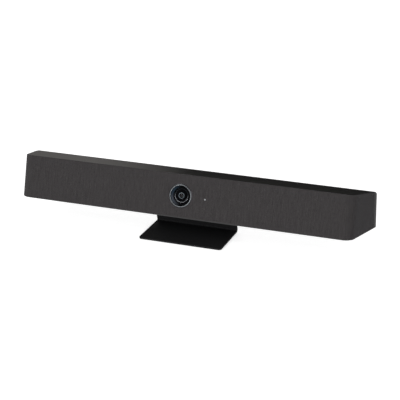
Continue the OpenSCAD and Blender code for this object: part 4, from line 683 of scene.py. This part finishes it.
# ---------------------------------------------------------------- materials of the CAD nodes
mats = {
    "rear_housing": plastic("rear_texture", (0.016, 0.0155, 0.0155), 0.55, 1500, 0.00006, 0.35),
    "grille_carrier": plastic("carrier_black", (0.02, 0.02, 0.021), 0.6),
    "lens_recess": recess_plastic(),
    "shutter_blade": plastic("blade_black", (0.004, 0.004, 0.0043), 0.5, spec=0.08),
    "shutter_pinion": plastic("natural_resin", (0.62, 0.6, 0.54), 0.4),
    "shutter_motor": metal("motor_can", (0.55, 0.55, 0.57), 0.3, (60, 1500, 60)),
    "shutter_guide": plastic("guide_black", (0.0018, 0.0019, 0.0021), 0.5, spec=0.01),
    "guide_screws": metal("small_screw", (0.5, 0.5, 0.52), 0.28),
    "lens_barrel": barrel_black(),
    "lens_retainer": retainer_metal(),
    "rear_element": glass("rear_glass", (0.5, 0.6, 0.62)),
    "lens_holder": plastic("holder_black", (0.015, 0.015, 0.016), 0.55),
    "image_sensor": plastic("sensor_gloss", (0.02, 0.03, 0.045), 0.12, 3000, 0.000002),
    "camera_board": board("camera_mask"),
    "camera_screws": metal("camera_screw", (0.55, 0.55, 0.57), 0.28),
    "light_chip": plastic("chip_yellow", (0.8, 0.75, 0.45), 0.3),
    "light_board": board("light_mask"),
    "mic_board": board("mic_mask"),
    "mic_cans": metal("can_plate", (0.72, 0.66, 0.5), 0.25),
    "mic_gaskets": rubber("gasket_foam", (0.015, 0.015, 0.015), 0.85),
    "speaker_screws": metal("speaker_screw", (0.5, 0.5, 0.52), 0.28),
    "speaker_leads": rubber("lead_red", (0.25, 0.015, 0.012), 0.45),
    "main_board": board("main_mask"),
    "chips": plastic("chip_black", (0.012, 0.012, 0.014), 0.45, 2200, 0.00002),
    "heat_pad": rubber("pad_blue", (0.3, 0.36, 0.45), 0.6),
    "heat_sink": metal("sink_anodised", (0.5, 0.51, 0.53), 0.36, (700, 40, 40)),
    "board_screws": metal("board_screw", (0.55, 0.55, 0.57), 0.28),
    "port_network": metal("network_shell", (0.6, 0.6, 0.62), 0.26, (80, 900, 80)),
    "port_video": metal("video_shell", (0.66, 0.66, 0.68), 0.24, (80, 900, 80)),
    "port_data": metal("data_shell", (0.66, 0.66, 0.68), 0.24, (80, 900, 80)),
    "port_power": plastic("power_black", (0.012, 0.012, 0.012), 0.42),
    "button_power": plastic("key_black", (0.02, 0.02, 0.0205), 0.38, 2400, 0.00002),
    "button_pair": plastic("key_black_two", (0.02, 0.02, 0.0205), 0.38, 2400, 0.00002),
    "switches": plastic("switch_black", (0.02, 0.02, 0.02), 0.35),
    "threaded_inserts": metal("insert_brass", (0.72, 0.52, 0.24), 0.3, (1200, 60, 60)),
    "case_screws": metal("case_screw", (0.05, 0.05, 0.052), 0.35),
    "ribbon_plugs": plastic("plug_ivory", (0.72, 0.69, 0.6), 0.4),
    "ribbons": plastic("ribbon_white", (0.7, 0.7, 0.67), 0.35, 400, 0.00002),
    "stand_screws": metal("stand_screw", (0.05, 0.05, 0.052), 0.35),
    "foot_pads": rubber("pad_rubber", (0.012, 0.012, 0.012)),
}
for side in ("left", "right"):
    mats["speaker_box_" + side] = plastic("box_" + side, (0.02, 0.02, 0.021), 0.6)
    mats["basket_" + side] = powder("basket_" + side, (0.02, 0.02, 0.022), 0.45)
    mats["magnet_" + side] = metal("magnet_" + side, (0.32, 0.32, 0.34), 0.4)
    mats["cone_" + side] = cone_paper("paper_" + side, (0.02, 0.02, 0.02))
    mats["dust_cap_" + side] = cone_paper("cap_" + side, (0.014, 0.014, 0.014))
    mats["surround_" + side] = rubber("surround_" + side, (0.012, 0.012, 0.012), 0.55)
    mats["spider_" + side] = cone_paper("spider_" + side, (0.42, 0.24, 0.07))
mats["light_pipe"] = lit_light()


def dress(node, material):
    """Gives every slot of a CAD node one material."""
    me = nodes[node].data
    if not me.materials:
        me.materials.append(material)
    for i in range(len(me.materials)):
        me.materials[i] = material
    if not me.has_custom_normals:
        shade(me, 30)


for name, material in mats.items():
    dress(name, material)

grille_cloth(cloth_material())
eased_copy("top_panel", 0.35 * MM, panel_material())
eased_copy("stand_plate", 0.5 * MM, powder("stand_powder", (0.0125, 0.0125, 0.0132), 0.6, 0.06))

# ---------------------------------------------------------------- lens
# Profiles are (radius, depth into the face) in millimetres
ring_profile = [(22.5, 0.0), (22.5, -0.25), (22.35, -0.42), (20.75, -1.12), (20.45, -1.27), (20.3, -1.3),
                (19.4, -1.3), (19.2, -1.26), (19.08, -1.12), (18.4, 1.2), (18.4, 3.0), (20.6, 3.0), (20.6, 0.0)]
ring = revolve("lens_ring_turned", [(r * MM, w * MM) for r, w in ring_profile], (0, LENS_UP),
               ring_metal(), smooth=22)
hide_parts("lens_ring")

dome_r, dome_w, dome_half, dome_n = 11.0, 5.2, 4.25, 12
glass_pts = [(0.0, dome_w)] + [(dome_r * math.sin(a), dome_w + dome_r * (1 - math.cos(a)))
                               for a in [math.asin(dome_half / dome_r) * i / dome_n
                                         for i in range(1, dome_n + 1)]]
glass_pts += [(dome_half, 7.5), (6.1, 7.5), (6.1, 9.0), (0.0, 9.0)]
front = revolve("front_glass", [(r * MM, w * MM) for r, w in glass_pts], (0, LENS_UP),
                glass("front_coated", (0.03, 0.04, 0.07), 0.3, 1.22), segs=96, closed=False, smooth=30)
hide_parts("front_element")

# ---------------------------------------------------------------- floor, world, lights
def backdrop_rays(t):
    """1 for camera, glossy and transmission rays, to which floor and world are a white backdrop."""
    rays = t.nodes.new("ShaderNodeLightPath")
    value = rays.outputs["Is Camera Ray"]
    for ray in ("Is Glossy Ray", "Is Transmission Ray"):
        most = t.nodes.new("ShaderNodeMath")
        most.operation = "MAXIMUM"
        t.links.new(value, most.inputs[0])
        t.links.new(rays.outputs[ray], most.inputs[1])
        value = most.outputs[0]
    return value


def stage():
    """White floor that keeps the object's shadow."""
    half = 6
    me = bpy.data.meshes.new("floor")
    me.from_pydata([(-half, -half, 0), (half, -half, 0), (half, half, 0), (-half, half, 0)], [], [(0, 1, 2, 3)])
    ob = placed("floor", me)
    m = bpy.data.materials.new("floor")
    m.use_nodes = True
    t = m.node_tree
    bs = t.nodes["Principled BSDF"]
    bs.inputs["Base Color"].default_value = (0.82, 0.82, 0.82, 1)
    bs.inputs["Roughness"].default_value = 0.9
    bs.inputs["Specular IOR Level"].default_value = 0.1
    em = t.nodes.new("ShaderNodeEmission")
    em.inputs["Color"].default_value = (1, 1, 1, 1)
    em.inputs["Strength"].default_value = 0.7
    add = t.nodes.new("ShaderNodeAddShader")
    mix = t.nodes.new("ShaderNodeMixShader")
    t.links.new(bs.outputs[0], add.inputs[0])
    t.links.new(em.outputs[0], add.inputs[1])
    t.links.new(backdrop_rays(t), mix.inputs[0])
    t.links.new(bs.outputs[0], mix.inputs[1])
    t.links.new(add.outputs[0], mix.inputs[2])
    t.links.new(mix.outputs[0], t.nodes["Material Output"].inputs[0])
    me.materials.append(m)


def flag():
    """Card behind the object, which the top panel mirrors: grey at the left and black from the middle on."""
    half, y, low, top = 2.4, 0.5, 0.001, 0.5
    fade_from, fade_to = -0.5, -0.15               # x over which the greys run out
    greys = ((0.0, 0.3), (0.23, 0.32), (0.52, 0.24), (0.74, 0.13), (0.93, 0.004))
    me = bpy.data.meshes.new("flag")
    me.from_pydata([(-half, y, low), (half, y, low), (half, y, top), (-half, y, top)], [], [(0, 1, 2, 3)])
    ob = placed("flag", me)
    m = bpy.data.materials.new("flag")
    m.use_nodes = True
    t = m.node_tree
    t.nodes.clear()
    sep = t.nodes.new("ShaderNodeSeparateXYZ")
    share = t.nodes.new("ShaderNodeMapRange")
    share.inputs["From Min"].default_value = fade_from
    share.inputs["From Max"].default_value = fade_to
    grey = t.nodes.new("ShaderNodeValToRGB")
    el = grey.color_ramp.elements
    while len(el) < len(greys):
        el.new(0.5)
    for e, (at, level) in zip(el, greys):
        e.position = at
        e.color = (level, level, level, 1)
    warm = t.nodes.new("ShaderNodeMix")
    warm.data_type, warm.blend_type = "RGBA", "MULTIPLY"
    warm.inputs[0].default_value = 1.0
    warm.inputs[7].default_value = (1, 0.95, 0.92, 1)
    glow = t.nodes.new("ShaderNodeEmission")
    end = t.nodes.new("ShaderNodeOutputMaterial")
    t.links.new(t.nodes.new("ShaderNodeTexCoord").outputs["Object"], sep.inputs[0])
    t.links.new(sep.outputs[0], share.inputs["Value"])
    t.links.new(share.outputs["Result"], grey.inputs["Fac"])
    t.links.new(grey.outputs["Color"], warm.inputs[6])
    t.links.new(warm.outputs[2], glow.inputs["Color"])
    t.links.new(glow.outputs[0], end.inputs["Surface"])
    me.materials.append(m)
    for way in ("camera", "diffuse", "shadow", "transmission"):
        setattr(ob, "visible_" + way, False)


def world():
    """Plain white light on the object, and a white backdrop for the rays that see past it."""
    w = bpy.data.worlds.new("studio")
    bpy.context.scene.world = w
    w.use_nodes = True
    t = w.node_tree
    t.nodes.clear()
    mix = t.nodes.new("ShaderNodeMixShader")
    t.links.new(backdrop_rays(t), mix.inputs[0])
    for slot, strength in ((1, 0.36), (2, 1.0)):       # light on the object, backdrop
        glow = t.nodes.new("ShaderNodeBackground")
        glow.inputs["Color"].default_value = (1, 1, 1, 1)
        glow.inputs["Strength"].default_value = strength
        t.links.new(glow.outputs[0], mix.inputs[slot])
    t.links.new(mix.outputs[0], t.nodes.new("ShaderNodeOutputWorld").inputs[0])


def softbox(name, place, target, size, power):
    """Area light that faces its target."""
    li = bpy.data.lights.new(name, "AREA")
    li.shape = "RECTANGLE"
    li.size, li.size_y = size
    li.energy = power
    ob = placed(name, li)
    ob.location = place
    d = Vector(target) - Vector(place)
    ob.rotation_euler = d.to_track_quat("-Z", "Y").to_euler()
    ob.visible_camera = False


stage()
flag()
world()
softbox("key", (-1.2, -1.9, 1.7), (0, 0, 0.09), (1.3, 1.0), 25)
softbox("fill", (1.3, -1.7, 0.9), (0, 0, 0.09), (0.6, 0.6), 12)
softbox("low", (0.1, -1.9, 0.16), (0, 0, 0.06), (1.6, 0.24), 13)
softbox("back", (-1.0, 2.0, 2.0), (0, 0, 0.1), (1.2, 1.0), 9)

bpy.context.scene.view_settings.view_transform = "Standard"

# ---------------------------------------------------------------- finish
bpy.context.view_layer.update()
